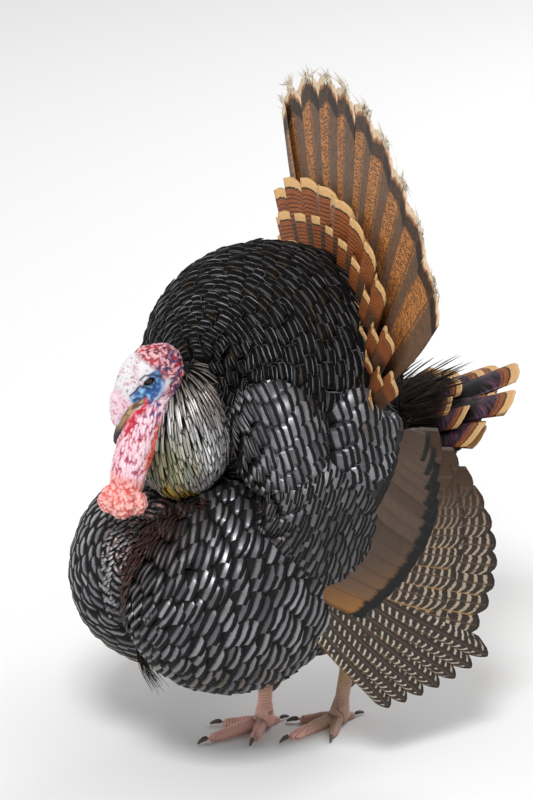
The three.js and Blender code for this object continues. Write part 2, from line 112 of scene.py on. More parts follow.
def bezier(points, shares):
    """Points of a quadratic curve at the given shares of its way."""
    a, b, c = (np.asarray(p, dtype=float) for p in points)
    t = np.asarray(shares, dtype=float)[:, None]
    return a * (1 - t) ** 2 + b * 2 * t * (1 - t) + c * t * t


# head frame: yaw to the bird's right and pitch below the horizon, about the middle of the skull
SKULL = spot(0, -225, 505)
HEAD_YAW = math.radians(28)
HEAD_PITCH = math.radians(53)
HEAD_ALONG = np.array(
    [
        -math.sin(HEAD_YAW) * math.cos(HEAD_PITCH),
        -math.cos(HEAD_YAW) * math.cos(HEAD_PITCH),
        -math.sin(HEAD_PITCH),
    ]
)
HEAD_SIDE = np.array([math.cos(HEAD_YAW), -math.sin(HEAD_YAW), 0])
HEAD_UP = np.cross(HEAD_ALONG, HEAD_SIDE)
EYE_ALONG = -2
EYE_ABOVE = 2
EYE_OUT = 16.2
EYE_WAY = (0.94, 0.35)  # the way of the long axis of its opening
EYE_LONG = 6.2
EYE_SHORT = 3.3
EYE_RADIUS = 6.2


def on_head(along, above, side=0.0):
    """A point of the head from millimetres along the bill, above it and to the bird's left."""
    return SKULL + (along * HEAD_ALONG + above * HEAD_UP + side * HEAD_SIDE) * MM


def in_head(points):
    """Millimetres along, above and to the left for points of the bird's frame."""
    away = (points - SKULL) / MM
    return away @ HEAD_ALONG, away @ HEAD_UP, away @ HEAD_SIDE


def box_centre(node):
    """The middle of a solid part's box in the shared frame."""
    low, high = (np.array(corner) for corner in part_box(node))
    return (low + high) / 2


# the bird's own frame has its origin between the feet; the shared one is centred on its box
SHIFT = box_centre("eye_left") - on_head(EYE_ALONG, EYE_ABOVE, EYE_OUT)


# ------------------------------------------------------------------ masses of plumage
class Mass:
    """An ellipsoid of plumage: centre and radii in millimetres, and its turn in degrees."""

    def __init__(self, centre, radii, about=(0, 0, 0)):
        self.centre = spot(*centre)
        self.radii = spot(*radii)
        self.about = about
        self.axes = turn(*about)

    def mirrored(self):
        """The same mass on the other side of the body."""
        x, y, z = self.centre / MM
        return Mass((-x, y, z), self.radii / MM, (self.about[0], -self.about[1], -self.about[2]))

    def surface(self, directions):
        """Points of its surface for unit vectors of its own sphere."""
        return self.centre + (directions * self.radii) @ self.axes.T

    def normals(self, directions):
        """Outward normals of its surface for unit vectors of its own sphere."""
        return unit((directions / self.radii) @ self.axes.T)

    def ball(self, bm, detail=4):
        """Adds a fine ball of its shape to a bmesh."""
        made = bmesh.ops.create_icosphere(bm, subdivisions=detail, radius=1)
        place = Matrix(self.axes.tolist()) @ Matrix.Diagonal(self.radii.tolist())
        bmesh.ops.transform(bm, matrix=place.to_4x4(), verts=made["verts"])
        bmesh.ops.translate(bm, vec=Vector(self.centre + SHIFT), verts=made["verts"])


BREAST = Mass((54, -135, 238), (112, 146, 128))
MANTLE = Mass((-18, -26, 468), (167, 146, 151), (0, -10, 0))
TRUNK = Mass((0, 12, 245), (138, 185, 145))
RUMP = Mass((-8, 74, 345), (100, 92, 100))
RUFF = Mass((4, -170, 434), (58, 58, 86), (-14, 0, 0))
SHOULDER = Mass((102, -108, 434), (56, 60, 76), (8, -10, 0))
SCAPULARS = Mass((124, -22, 424), (50, 66, 84), (0, -6, 0))
FOREWING = Mass((128, -72, 330), (46, 84, 98), (0, 0, -8))
VENT = Mass((30, 150, 372), (74, 84, 40), (16, 0, -27))
THIGHS = {"left": Mass((30, 62, 124), (34, 42, 46)), "right": Mass((-27, -28, 124), (34, 42, 46))}
PAIRED = (BREAST, SHOULDER, SCAPULARS, FOREWING)
FLESH = ["mantle", "trunk", "breast", "rump", "neck_ruff"]
FLESH += [f"{part}_{side}" for part in ("shoulder", "scapulars", "forewing", "thigh") for side in SIDES]


# ------------------------------------------------------------------ meshes
def new_object(name, mesh):
    """An object for a mesh, in the scene."""
    thing = bpy.data.objects.new(name, mesh)
    bpy.context.collection.objects.link(thing)
    return thing


def from_bmesh(name, bm):
    """Turns a bmesh into an object."""
    mesh = bpy.data.meshes.new(name)
    bm.to_mesh(mesh)
    bm.free()
    return new_object(name, mesh)


def solid_copy(nodes, swell=0.0, cores=()):
    """The named solid parts in one bmesh, merged at their corners and swollen, with unswollen cores."""
    bm = bmesh.new()
    for node in nodes:
        bm.from_mesh(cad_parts[node].data)
    bmesh.ops.remove_doubles(bm, verts=bm.verts, dist=WELD)
    bm.normal_update()
    for vert in bm.verts:
        vert.co += vert.normal * swell
    for node in cores:
        bm.from_mesh(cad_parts[node].data)
    return bm


def evaluated(thing):
    """Applies an object's modifiers and returns it with its final mesh."""
    graph = bpy.context.evaluated_depsgraph_get()
    mesh = bpy.data.meshes.new_from_object(thing.evaluated_get(graph))
    thing.modifiers.clear()
    thing.data = mesh
    return thing


def coordinates(mesh):
    """A mesh's corner positions as rows."""
    flat = np.empty(len(mesh.vertices) * 3)
    mesh.vertices.foreach_get("co", flat)
    return flat.reshape(-1, 3)


def normals(mesh):
    """A mesh's corner normals as rows."""
    flat = np.empty(len(mesh.vertices) * 3)
    mesh.vertex_normals.foreach_get("vector", flat)
    return flat.reshape(-1, 3)


def on_floor(points):
    """The same points, none of them under the floor."""
    return np.maximum(points, np.array([-np.inf, -np.inf, 0.0]))


def move_corners(mesh, points):
    """Writes new corner positions."""
    mesh.vertices.foreach_set("co", np.asarray(points).ravel())
    mesh.update()


def set_attribute(mesh, name, values, kind="FLOAT"):
    """Stores one value or colour for each corner."""
    layer = mesh.attributes.new(name, kind, "POINT")
    if kind == "FLOAT":
        layer.data.foreach_set("value", np.asarray(values, dtype=float).ravel())
        return
    opaque = np.concatenate([values, np.ones((len(values), 1))], axis=1)
    layer.data.foreach_set("color", opaque.ravel())


def remeshed(thing, voxel, smoothing):
    """Merges an object's shells into one even skin and smooths it."""
    remesh = thing.modifiers.new("merge", "REMESH")
    remesh.mode = "VOXEL"
    remesh.voxel_size = voxel
    soft = thing.modifiers.new("soften", "SMOOTH")
    soft.factor = 0.5
    soft.iterations = smoothing
    return evaluated(thing)


class Envelope:
    """The outline of the coat as a smooth closed surface that feathers can be laid along."""

    def __init__(self, mesh):
        points = coordinates(mesh) - SHIFT
        mesh.calc_loop_triangles()
        corners = np.empty(len(mesh.loop_triangles) * 3, dtype=np.int32)
        mesh.loop_triangles.foreach_get("vertices", corners)
        corners = corners.reshape(-1, 3)
        self.tree = BVHTree.FromPolygons(points.tolist(), corners.tolist())
        self.normals = unit(normals(mesh)[corners].sum(axis=1))
        self.middles = points[corners].mean(axis=1)

    def nearest(self, points):
        """The nearest points of the surface with their outward normals."""
        found = [self.tree.find_nearest(point) for point in points.tolist()]
        places = np.array([hit[0] for hit in found])
        return places, self.normals[[hit[2] for hit in found]]


# ------------------------------------------------------------------ feathers
class Vane:
    """A closed thin feather to be copied: its corners across (-1 to 1) and along (0 to 1).

    crowd draws its rows towards the tip, and fray is how far the barbs of the tip part.
    """

    def __init__(self, rows, columns, crowd=1.5, fray=0.0):
        bm = bmesh.new()
        bmesh.ops.create_grid(bm, x_segments=columns, y_segments=rows, size=1)
        edge = [e for e in bm.edges if e.is_boundary]
        sides = [e for e in edge if abs(e.verts[0].co.x - e.verts[1].co.x) < TINY]
        bmesh.ops.bridge_loops(bm, edges=sides)
        ends = [e for e in bm.edges if e.is_boundary]
        bmesh.ops.holes_fill(bm, edges=ends)
        bmesh.ops.triangulate(bm, faces=bm.faces)
        bmesh.ops.recalc_face_normals(bm, faces=bm.faces)
        bm.verts.index_update()
        co = np.array([v.co[:] for v in bm.verts])
        self.across = co[:, 0]
        self.fray = fray
        self.along = 1 - (1 - (co[:, 1] + 1) / 2) ** crowd
        self.faces = np.array([[v.index for v in f.verts] for f in bm.faces], dtype=np.int32)
        spread = np.ptp(co[self.faces][:, :, 0], axis=1)
        limit = 2.0 / columns + TINY
        rise = np.ptp(co[self.faces][:, :, 1], axis=1)
        self.top = (spread < limit) & (rise > TINY)
        bm.free()


FRAY_WAVES = (61.0, 23.0)  # radians across half a feather
SHAFT_WIDTH = 0.05  # as a share of half a feather
SMALL_PATCH = (0.004, 0.004)


class Coat:
    """Feathers gathered into one mesh, each laid from its own centre line.

    Each has a patch on the OFBake map: large feathers in the middle of a cell each, where cells
    holds the map's columns and rows of them, and small ones at the place of their root.
    """

    def __init__(self, vane, cells=None, patch=SMALL_PATCH):
        self.vane = vane
        self.cells = cells
        self.patch = np.array(patch)
        self.points = []
        self.tints = []
        self.chances = []
        self.patches = []
        self.hands = []

    def lay(self, lines, ups, shares, size, shape, tints, chances, patches, hand=1):
        """Adds feathers.

        lines and ups hold each feather's centre line and its outward normals at the shares of its
        length; size holds half widths of its inner and outer vane; shape gives the outline and the
        camber; hand is 1 where the outer vane lies on the right of the way to the tip, else -1.
        """
        across, along = self.vane.across, self.vane.along
        tip = shape.tip * np.abs(across) ** shape.corner * smooth(0.35, 1.0, along)
        where = along * (1 - tip)
        if self.vane.fray:
            ragged = np.sin(across * FRAY_WAVES[0] + 4.0 * np.sin(across * FRAY_WAVES[1])) * 0.5 + 0.5
            where = where - self.vane.fray * ragged * smooth(0.9, 1.0, along)
        line = sample(lines, shares, where)
        up = unit(sample(ups, shares, where))
        way = unit(sample(np.gradient(lines, axis=1), shares, where))
        side = unit(np.cross(way, up))
        outer = across * hand > 0
        width = np.where(outer[None, :], size[:, 1:], size[:, :1]) * shape.width(along)[None, :]
        drop = shape.camber * across**2 + shape.fold * np.abs(across)
        curl = shape.curl * smooth(0.55, 1.0, along)
        shaft = shape.ridge * MM * bell(across, 0, SHAFT_WIDTH) * (1.1 - along)
        rise = width * (-drop - curl) + shaft
        self.points.append(line + side * (across * width)[..., None] + up * rise[..., None])
        self.hands.append(np.full(len(lines), hand))
        count = len(across)
        self.tints.append(np.repeat(tints[:, None], count, axis=1))
        self.chances.append(np.repeat(chances[:, None], count, axis=1))
        self.patches.append(patches)

    def count(self):
        """How many feathers it holds."""
        return sum(len(points) for points in self.points)

    def build(self, name, material, replaces=()):
        """Makes the piece."""
        points = np.concatenate(self.points) + SHIFT
        total, corners, _ = points.shape
        faces = self.vane.faces[None] + (np.arange(total) * corners)[:, None, None]
        faces = faces.reshape(-1, 3).astype(np.int32)
        mesh = bpy.data.meshes.new(name)
        mesh.vertices.add(total * corners)
        mesh.vertices.foreach_set("co", points.ravel())
        mesh.loops.add(faces.size)
        mesh.loops.foreach_set("vertex_index", faces.ravel())
        mesh.polygons.add(len(faces))
        mesh.polygons.foreach_set("loop_start", np.arange(0, faces.size, 3, dtype=np.int32))
        mesh.polygons.foreach_set("use_smooth", np.tile(self.vane.top, total))
        mesh.update(calc_edges=True)
        hands = np.repeat(np.concatenate(self.hands), corners)
        across = np.tile(self.vane.across, total) * hands / 2 + 0.5
        along = np.tile(self.vane.along, total)
        feather = np.stack([across, along], axis=1)
        add_map(mesh, "Feather", feather, faces)
        place = np.repeat(np.concatenate(self.patches), corners, axis=0)
        add_map(mesh, "OFBake", place + (feather - 0.5) * self.patch, faces)
        set_attribute(mesh, "tint", np.concatenate(self.tints).reshape(-1, 3), "FLOAT_COLOR")
        set_attribute(mesh, "chance", np.concatenate(self.chances).ravel())
        mesh.materials.append(material)
        finish_piece(new_object(name, mesh), replaces)


def sample(lines, shares, where):
    """Values along each line at the given shares, by straight steps between its stations."""
    place = np.interp(where, shares, np.arange(len(shares)))
    low = np.minimum(place.astype(int), len(shares) - 2)
    part = (place - low)[None, :, None]
    return lines[:, low] * (1 - part) + lines[:, low + 1] * part


def add_map(mesh, name, corners, faces):
    """Adds a UV map from one place for each mesh corner."""
    layer = mesh.uv_layers.new(name=name)
    layer.data.foreach_set("uv", corners[faces.ravel()].ravel())


def finish_piece(thing, replaces=()):
    """Rides a piece on the one body and hides the solid parts it replaces."""
    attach(thing, "root")
    if replaces:
        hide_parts(*replaces)


@dataclass
class Shape:
    """The outline of a feather.

    tip and corner round its end, low and full say where its sides reach full width, taper is how
    much it narrows again, camber and curl bend it, fold makes it a roof, and ridge is the height
    of its shaft in millimetres.
    """

    tip: float
    corner: float
    low: float
    full: float
    camber: float
    taper: float = 0.0
    curl: float = 0.0
    ridge: float = 0.0
    fold: float = 0.0

    def width(self, along):
        """The share of the full width at each share of the length."""
        opening = blend(self.low, 1.0, smooth(0, self.full, along))
        return opening * (1 - self.taper * smooth(self.full, 1.0, along))


ROOT_LENGTH = 8  # the part of a body feather that is always hidden, in millimetres
ROOT_SUNK = 0.018  # a feather whose root lies deeper than this under the outline is left out
SUNK = 0.012  # and so is one whose middle lies deeper than this
STATIONS = np.array([0.0, 0.2, 0.4, 0.55, 0.7, 0.82, 0.92, 1.0])
MIDDLE_STATION = 4
RING_POINTS = 73
NUDGE = 0.01  # radians
ASKEW = (0.1, 0.2, 1.0)  # a way that no pole has
SPIN = 0.6  # how far a feather turns aside in a tract of raggedness 1, in radians
HALF_WIDTH = 0.66  # half a feather's width as a share of the room it has in its row
ROUNDED = 0.35  # how far the rise of a feather is eased at its ends
LOFT_SPREAD = 2.5


@dataclass
class Tract:
    """A field of feathers in rows round a pole of one mass.

    pole is the direction of the mass's own sphere that the feathers point away from, and start and
    end are the first and last row's degrees from it. exposure and width, in millimetres, grow from
    the first row to the last at the pace of growth, and a feather is length times as long as its
    exposed part. It rises from depth under the mass to stand over it, both in millimetres. jitter
    moves the roots, ragged varies the feathers, and behind lets them lie behind the fan.
    """

    mass: Mass
    pole: tuple
    start: float
    end: float
    exposure: tuple
    width: tuple
    length: float
    depth: float = 8.0
    stand: float = 0.0
    growth: float = 1.0
    jitter: float = 0.1
    ragged: float = 0.08
    behind: bool = False

    def mirrored(self):
        """The same tract on the other side of the body."""
        x, y, z = self.pole
        return replace(self, mass=self.mass.mirrored(), pole=(-x, y, z))

    def direction(self, theta, phi):
        """Unit vectors of the mass's sphere at angles from the pole and round it."""
        pole = unit(np.array(self.pole, dtype=float))
        first = unit(np.cross(pole, ASKEW))
        spoke = np.cos(phi)[..., None] * first + np.sin(phi)[..., None] * np.cross(pole, first)
        return np.cos(theta)[..., None] * pole + np.sin(theta)[..., None] * spoke

    def rows(self, rng):
        """Angles of all its roots, with their share of the way from the pole."""
        start, end = math.radians(self.start), math.radians(self.end)
        theta = start
        thetas, phis, parts = [], [], []
        row = 0
        around = np.linspace(0, 2 * math.pi, RING_POINTS)
        while theta < end:
            part = ((theta - start) / (end - start)) ** self.growth
            line = self.mass.surface(self.direction(np.full(RING_POINTS, theta), around))
            ahead = self.mass.surface(self.direction(np.full(RING_POINTS, theta + NUDGE), around))
            speed = np.linalg.norm(ahead - line, axis=1).mean() / NUDGE
            steps = np.linalg.norm(np.diff(line, axis=0), axis=1)
            length = np.concatenate([[0], np.cumsum(steps)])
            count = max(3, round(length[-1] / (blend(*self.width, part) * MM)))
            begin = 0.5 * (row % 2) + rng.uniform(-0.2, 0.2)
            slots = (np.arange(count) + begin + rng.uniform(-1, 1, count) * self.jitter) / count % 1.0
            phis.append(np.interp(slots * length[-1], length, around))
            step = blend(*self.exposure, part) * MM / speed
            thetas.append(theta + rng.uniform(-1, 1, count) * self.jitter * step)
            parts.append(np.full(count, part))
            theta += step
            row += 1
        return np.concatenate(thetas), np.concatenate(phis), np.concatenate(parts)


def cover(coat, envelope, tract, shape, tint, seed, keep=None):
    """Lays a tract's feathers along its mass and adds them to a coat."""
    rng = np.random.default_rng(seed)
    thetas, phis, parts = tract.rows(rng)
    roots = tract.mass.surface(tract.direction(thetas, phis))
    places, ups = envelope.nearest(roots)
    near = dot(places - roots, ups)[:, 0] < ROOT_SUNK
    if keep is not None:
        near &= keep(roots)
    thetas, phis, parts, roots = (values[near] for values in (thetas, phis, parts, roots))
    count = len(thetas)
    onward = tract.mass.surface(tract.direction(thetas + NUDGE, phis))
    speed = np.linalg.norm(onward - roots, axis=1) / NUDGE
    lengths = (blend(*tract.exposure, parts) * tract.length + ROOT_LENGTH) * MM
    lengths *= 1 + rng.uniform(-1, 1, count) * tract.ragged
    spin = rng.normal(0, tract.ragged * SPIN, count)
    reach = lengths[:, None] * STATIONS
    angles = thetas[:, None] + reach * np.cos(spin)[:, None] / speed[:, None]
    toward = tract.direction(angles, np.broadcast_to(phis[:, None], angles.shape))
    lines = tract.mass.surface(toward)
    lifts = tract.mass.normals(toward)
    sideways = unit(np.cross(np.gradient(lines, axis=1), lifts))
    lines = lines + sideways * (reach * np.sin(spin)[:, None])[..., None]
    middle = lines[:, MIDDLE_STATION]
    places, ups = envelope.nearest(middle)
    shown = dot(places - middle, ups)[:, 0] < SUNK
    kept = (values[shown] for values in (lines, lifts, sideways, parts, roots))
    lines, lifts, sideways, parts, roots = kept
    count = int(shown.sum())
    halves = blend(*tract.width, parts) * HALF_WIDTH * MM * rng.uniform(0.9, 1.1, count)
    halves = np.stack([halves, halves], axis=1)
    raised = blend(STATIONS, smooth(0, 1, STATIONS), ROUNDED)
    loft = 1 + rng.uniform(-LOFT_SPREAD, LOFT_SPREAD, (count, 1)) * tract.ragged
    heights = -tract.depth + (tract.depth + tract.stand * loft) * raised[None, :]
    lines = lines + lifts * heights[..., None] * MM
    if not tract.behind:
        lines = in_front_of_fan(lines, loft[..., None])
    roll = rng.normal(0, tract.ragged, (count, 1, 1))
    lifts = unit(lifts + sideways * roll)
    colours = tint(roots, rng)
    coat.lay(lines, lifts, STATIONS, halves, shape, colours, rng.random(count), unwrap(roots))


def unwrap(places):
    """Where roots lie on a flat map of the whole skin, opened round the body's upright axis."""
    away = places - spot(0, -20, 330)
    round_about = np.arctan2(away[:, 0], -away[:, 1]) / (2 * math.pi) + 0.5
    height = np.arctan2(away[:, 2], np.hypot(away[:, 0], away[:, 1])) / math.pi + 0.5
    return np.stack([round_about, height], axis=1) * 0.98 + 0.01


# ------------------------------------------------------------------ the planes of the tail fan
FAN_BASE = spot(0, 60, 358)
FAN_PITCH = 3.6
FAN_ROLL = -32.5
FAN_YAW = -28.5
COVERT_YAW = -24.5
FAN_SWEEP = math.radians(9)
FAN_HALF_SPAN = math.radians(84)
COVERTS_AHEAD = 14.5  # how far the front of the tail coverts lies before the quills
FAN_FOOT = 0.02  # how far the fan reaches below its base
FAN_BACK = 0.002  # a root further back than this lies behind the fan


class FanHalf:
    """The plane of one half of the fan: its middle line, outward direction and front."""

    def __init__(self, hand, yaw):
        axes = turn(FAN_PITCH, FAN_ROLL, yaw, "ZXY")
        ahead = -axes[:, 1]
        level = axes[:, 0] * hand
        self.middle = axes[:, 2]
        self.outward = level * math.cos(FAN_SWEEP) - ahead * math.sin(FAN_SWEEP)
        self.front = ahead * math.cos(FAN_SWEEP) + level * math.sin(FAN_SWEEP)

    def at(self, angle, reach, ahead):
        """Points of the fan for angles from its middle, reaches from its base and millimetres ahead."""
        way = np.sin(angle)[..., None] * self.outward + np.cos(angle)[..., None] * self.middle
        return FAN_BASE + (way * reach[..., None] + self.front * ahead[..., None]) * MM


def in_front_of_fan(points, loft):
    """Pushes points that would go through the fan out to its front."""
    for hand in HANDS.values():
        half = FanHalf(hand, COVERT_YAW)
        away = points - FAN_BASE
        depth = dot(away, half.front) - (COVERTS_AHEAD + LOFT_SPREAD * loft) * MM
        mine = (dot(away, half.outward) > -COVERTS_AHEAD * MM) & (dot(away, half.middle) > -FAN_FOOT)
        points = points - half.front * np.where(mine & (depth < 0), depth, 0)
    return points


def before_quills(points, hand, margin):
    """Pushes points that lie too close to the quills of one half of the fan forward."""
    half = FanHalf(hand, FAN_YAW)
    depth = dot(points - FAN_BASE, half.front) - margin * MM
    return points - half.front * np.where(depth < 0, depth, 0)


def behind_fan(points):
    """Which points lie behind both halves of the fan."""
    fronts = [FanHalf(hand, FAN_YAW).front for hand in HANDS.values()]
    return np.all([dot(points - FAN_BASE, front)[:, 0] < FAN_BACK for front in fronts], axis=0)


def before_fan(points):
    """Which points aren't behind the fan."""
    return ~behind_fan(points)


# ------------------------------------------------------------------ the plane of a wing
WING_POINT = spot(150, -80, 250)
WING_SPLAY = 0.17
WING_FLARE = 0.08
WING_REAR = unit(np.array([WING_SPLAY, 1, 0]))
WING_UP = unit(np.array([-WING_FLARE, 0, 1]) + WING_REAR * WING_FLARE * WING_REAR[0])
WING_OUT = np.cross(WING_REAR, WING_UP)
MIRROR = {1: np.array([1.0, 1.0, 1.0]), -1: np.array([-1.0, 1.0, 1.0])}


def on_wing(rear, up, out, hand):
    """Points of a wing's plane from millimetres to the rear, up and outward."""
    parts = zip((rear, up, out), (WING_REAR, WING_UP, WING_OUT))
    place = sum(np.asarray(part)[..., None] * axis for part, axis in parts)
    return (WING_POINT + place * MM) * MIRROR[hand]


# ------------------------------------------------------------------ materials
def shade(red, green, blue):
    """A linear colour from the usual 0 to 255 of a screen."""
    parts = np.array([red, green, blue]) / 255
    return tuple(np.where(parts <= 0.04045, parts / 12.92, ((parts + 0.055) / 1.055) ** 2.4))


class Value:
    """A shader socket that can be added, multiplied and compared like a number."""

    def __init__(self, paint, socket):
        self.paint = paint
        self.socket = socket

    def worked(self, operation, *others):
        """The result of a Math node on this value and others."""
        inputs = dict(enumerate((self, *others)))
        return self.paint.node("ShaderNodeMath", {"operation": operation}, inputs)

    def __add__(self, other):
        return self.worked("ADD", other)

    def __sub__(self, other):
        return self.worked("SUBTRACT", other)

    def __mul__(self, other):
        return self.worked("MULTIPLY", other)

    def __radd__(self, other):
        return self.paint.number(other) + self

    def __rsub__(self, other):
        return self.paint.number(other) - self

    def __rmul__(self, other):
        return self.paint.number(other) * self

    def wave(self):
        """Its sine brought between 0 and 1."""
        return self.worked("SINE") * 0.5 + 0.5

    def size(self):
        """Its absolute value."""
        return self.worked("ABSOLUTE")

    def power(self, other):
        """Raised to a power."""
        return self.worked("POWER", other)

    def most(self, other):
        """The larger of this and another."""
        return self.worked("MAXIMUM", other)

    def step(self, low, high):
        """A smooth step from 0 at low to 1 at high."""
        settings = {"interpolation_type": "SMOOTHSTEP"}
        inputs = {"Value": self, "From Min": low, "From Max": high}
        return self.paint.node("ShaderNodeMapRange", settings, inputs)


MIX_SOCKETS = (0, 6, 7)  # a Mix node's share and its two colours
MIX_RESULT = 2  # and the colour it gives


class Paint:
    """One material being made. Its methods return values of its shader tree."""

    def __init__(self, name, **uniform):
        self.material = bpy.data.materials.new(name)
        self.material.use_nodes = True
        self.tree = self.material.node_tree
        self.tree.nodes.clear()
        self.output = self.tree.nodes.new("ShaderNodeOutputMaterial")
        self.shader = self.tree.nodes.new("ShaderNodeBsdfPrincipled")
        self.tree.links.new(self.shader.outputs[0], self.output.inputs["Surface"])
        for socket, value in uniform.items():
            self.shader.inputs[socket.replace("_", " ")].default_value = value

    def node(self, kind, settings=None, inputs=None, output=0):
        """Adds a node: its settings first, then its sockets' values or links."""
        made = self.tree.nodes.new(kind)
        for setting, value in (settings or {}).items():
            setattr(made, setting, value)
        for socket, value in (inputs or {}).items():
            if isinstance(value, Value):
                self.tree.links.new(value.socket, made.inputs[socket])
            else:
                made.inputs[socket].default_value = value
        return Value(self, made.outputs[output])

    def number(self, value):
        """A plain number as a value."""
        made = self.node("ShaderNodeValue")
        made.socket.default_value = value
        return made

    def attribute(self, name, output="Fac"):
        """An attribute of the mesh."""
        return self.node("ShaderNodeAttribute", {"attribute_name": name}, output=output)

    def place(self):
        """The object's own coordinates."""
        return self.node("ShaderNodeTexCoord", output="Object")

    def feather(self):
        """Across (0 to 1) and along (0 to 1) a feather."""
        spread = self.node("ShaderNodeUVMap", {"uv_map": "Feather"})
        parts = self.tree.nodes.new("ShaderNodeSeparateXYZ")
        self.tree.links.new(spread.socket, parts.inputs[0])
        return Value(self, parts.outputs[0]), Value(self, parts.outputs[1])

    def height(self):
        """Metres above the floor."""
        return self.node("ShaderNodeSeparateXYZ", None, {0: self.place()}, output=2)

    def vector(self, x, y, z=0.0):
        """A vector from three values."""
        return self.node("ShaderNodeCombineXYZ", inputs={0: x, 1: y, 2: z})

    def noise(self, where, scale, detail=2.0):
        """Soft noise between 0 and 1."""
        inputs = {"Vector": where, "Scale": scale, "Detail": detail}
        return self.node("ShaderNodeTexNoise", inputs=inputs)

    def borders(self, where, scale):
        """Distance from the borders of a field of cells."""
        settings = {"feature": "DISTANCE_TO_EDGE"}
        return self.node("ShaderNodeTexVoronoi", settings, {"Vector": where, "Scale": scale})

    def distance(self, place):
        """Metres from a place of the bird's own frame."""
        ends = {0: self.place(), 1: tuple(place + SHIFT)}
        return self.node("ShaderNodeVectorMath", {"operation": "DISTANCE"}, ends, output=1)

    def mix(self, first, second, share):
        """A colour between two."""
        ends = [end if isinstance(end, Value) else (*end, 1.0) for end in (first, second)]
        sockets = dict(zip(MIX_SOCKETS, (share, *ends)))
        return self.node("ShaderNodeMix", {"data_type": "RGBA"}, sockets, output=MIX_RESULT)

    def layered(self, colour, *layers):
        """A colour with others over it, each with its share."""
        for over, share in layers:
            colour = self.mix(colour, over, share)
        return colour

    def scaled(self, colour, factor):
        """A colour made lighter or darker."""
        return self.node("ShaderNodeVectorMath", {"operation": "SCALE"}, {0: colour, "Scale": factor})

    def set(self, **inputs):
        """Links values into the shader."""
        for socket, value in inputs.items():
            self.tree.links.new(value.socket, self.shader.inputs[socket.replace("_", " ")])

    def bump(self, height, strength, distance):
        """Raises the surface by a height."""
        inputs = {"Strength": strength, "Distance": distance, "Height": height}
        self.set(Normal=self.node("ShaderNodeBump", inputs=inputs))


BLACK = shade(12, 11, 11)
DULL = 0.75  # roughness of the dark parts of a body feather
SHINY = 0.34  # and of its bright band
ALWAYS = (-0.2, 0.0)  # a step that is passed all over a feather
NEVER = (1.4, 1.5)  # a step that no place on a feather reaches
RIM = (0.965, 0.985)  # the thin bright line at the tip of a body feather
SCUTE_STEP = 3.4  # from one band of the scales of the legs to the next, in millimetres
PLAIN_HEIGHTS = (0.26, 0.36)  # where the bars of the upper wing quills fade, above the floor
RECTRIX_LENGTH = 383.0
BILL_TIP = (86, -17)


def barbed(paint, fineness):
    """What all feather paints start from.

    Places across and along the feather, its own chance, how far out from the shaft a place is, the
    fine slanting lines of the barbs and the ragged edge they make, all from 0 to 1.
    """
    across, along = paint.feather()
    chance = paint.attribute("chance")
    out = (across - 0.5).size()
    lines = paint.vector(out * 2.0, (along - out * 0.22) * fineness, chance * 40.0)
    fine = paint.noise(lines, 1.0, 1.0)
    strands = paint.vector((along * 0.4 - out * 0.1) * 4.0, across * fineness * 0.5, chance * 90.0)
    ragged = paint.noise(strands, 1.0, 2.0)
    return across, along, chance, out * 2.0, fine, ragged


def scale_paint(name, band, tip, gloss=0.6, dark=BLACK, rim=None, sides=(0.9, 1.0), spec=0.28):
    """A body feather: dark, with a bright band in its own tint before a velvet edge. The dark before
    the band and at the edge is partly the feather's own black and partly painted shade cast by the
    feathers over it.

    band is where the bright band starts and is full, tip and sides are where the dark edge does at
    the end and at the sides, and rim is where a thin bright line does.
    """
    paint = Paint(name, Specular_IOR_Level=spec)
    _, along, chance, out, fine, ragged = barbed(paint, 60.0)
    tint = paint.attribute("tint", "Color")
    bend = along + (ragged - 0.5) * 0.05 - out.power(2.0) * 0.03 + (chance - 0.5) * 0.03
    bright = bend.step(*band)
    edge = bend.step(*tip).most(out.step(*sides))
    # painted shade, in part: the dark before the bright band and at the velvet edge also stands for the
    # shade of the overlapping feathers
    colour = paint.mix(dark, paint.scaled(tint, 0.62 + fine * 0.76), bright)
    colour = paint.mix(colour, dark, edge)
    if rim:
        line = bend.step(*rim).most(out.step(0.9, 0.99) * bend.step(0.6, 0.7) * 0.6)
        colour = paint.mix(colour, tint, line)
        bright = bright.most(line)
    shine = bright * (1.0 - edge)
    roughness = (DULL - shine * (DULL - SHINY)) + fine * 0.08
    paint.set(Base_Color=colour, Metallic=shine * gloss, Roughness=roughness)
    paint.bump(fine, 0.35, 0.0003)
    return paint.material


def skin_paint(name):
    """Bare skin in the colours stored with its corners, with bands of horny scales on the legs."""
    paint = Paint(name, Specular_IOR_Level=0.5, Subsurface_Weight=0.12, Subsurface_Scale=0.4)
    paint.shader.inputs["Subsurface Radius"].default_value = (0.004, 0.0015, 0.001)
    place = paint.place()
    tint = paint.attribute("tint", "Color")
    wet = paint.attribute("wet")
    horny = paint.attribute("scaly")
    grain = paint.noise(place, 900.0, 3.0)
    cracks = paint.borders(place, 330.0).step(0.0, 0.1)
    stir = paint.noise(place, 120.0) * 2.4
    bands = ((paint.attribute("scute") + stir) * (2.0 * math.pi / SCUTE_STEP)).wave().step(0.86, 1.0)
    plates = (1.0 - bands) * (0.7 + cracks * 0.3)
    lines = paint.mix(paint.scaled(tint, 0.5), paint.scaled(tint, 1.12), plates)
    colour = paint.mix(tint, lines, horny)
    colour = paint.scaled(colour, 0.86 + grain * 0.28)
    paint.set(Base_Color=colour, Roughness=0.45 - wet * 0.2 + grain * 0.06)
    paint.bump(grain * 0.4 + plates * horny * 1.2, 0.5, 0.0006)
    return paint.material


def claw_paint(name):
    """Dark horn with faint grain."""
    paint = Paint(name, Roughness=0.45)
    grain = paint.noise(paint.place(), 300.0, 3.0)
    paint.set(Base_Color=paint.scaled(shade(84, 74, 66), 0.8 + grain * 0.4))
    return paint.material


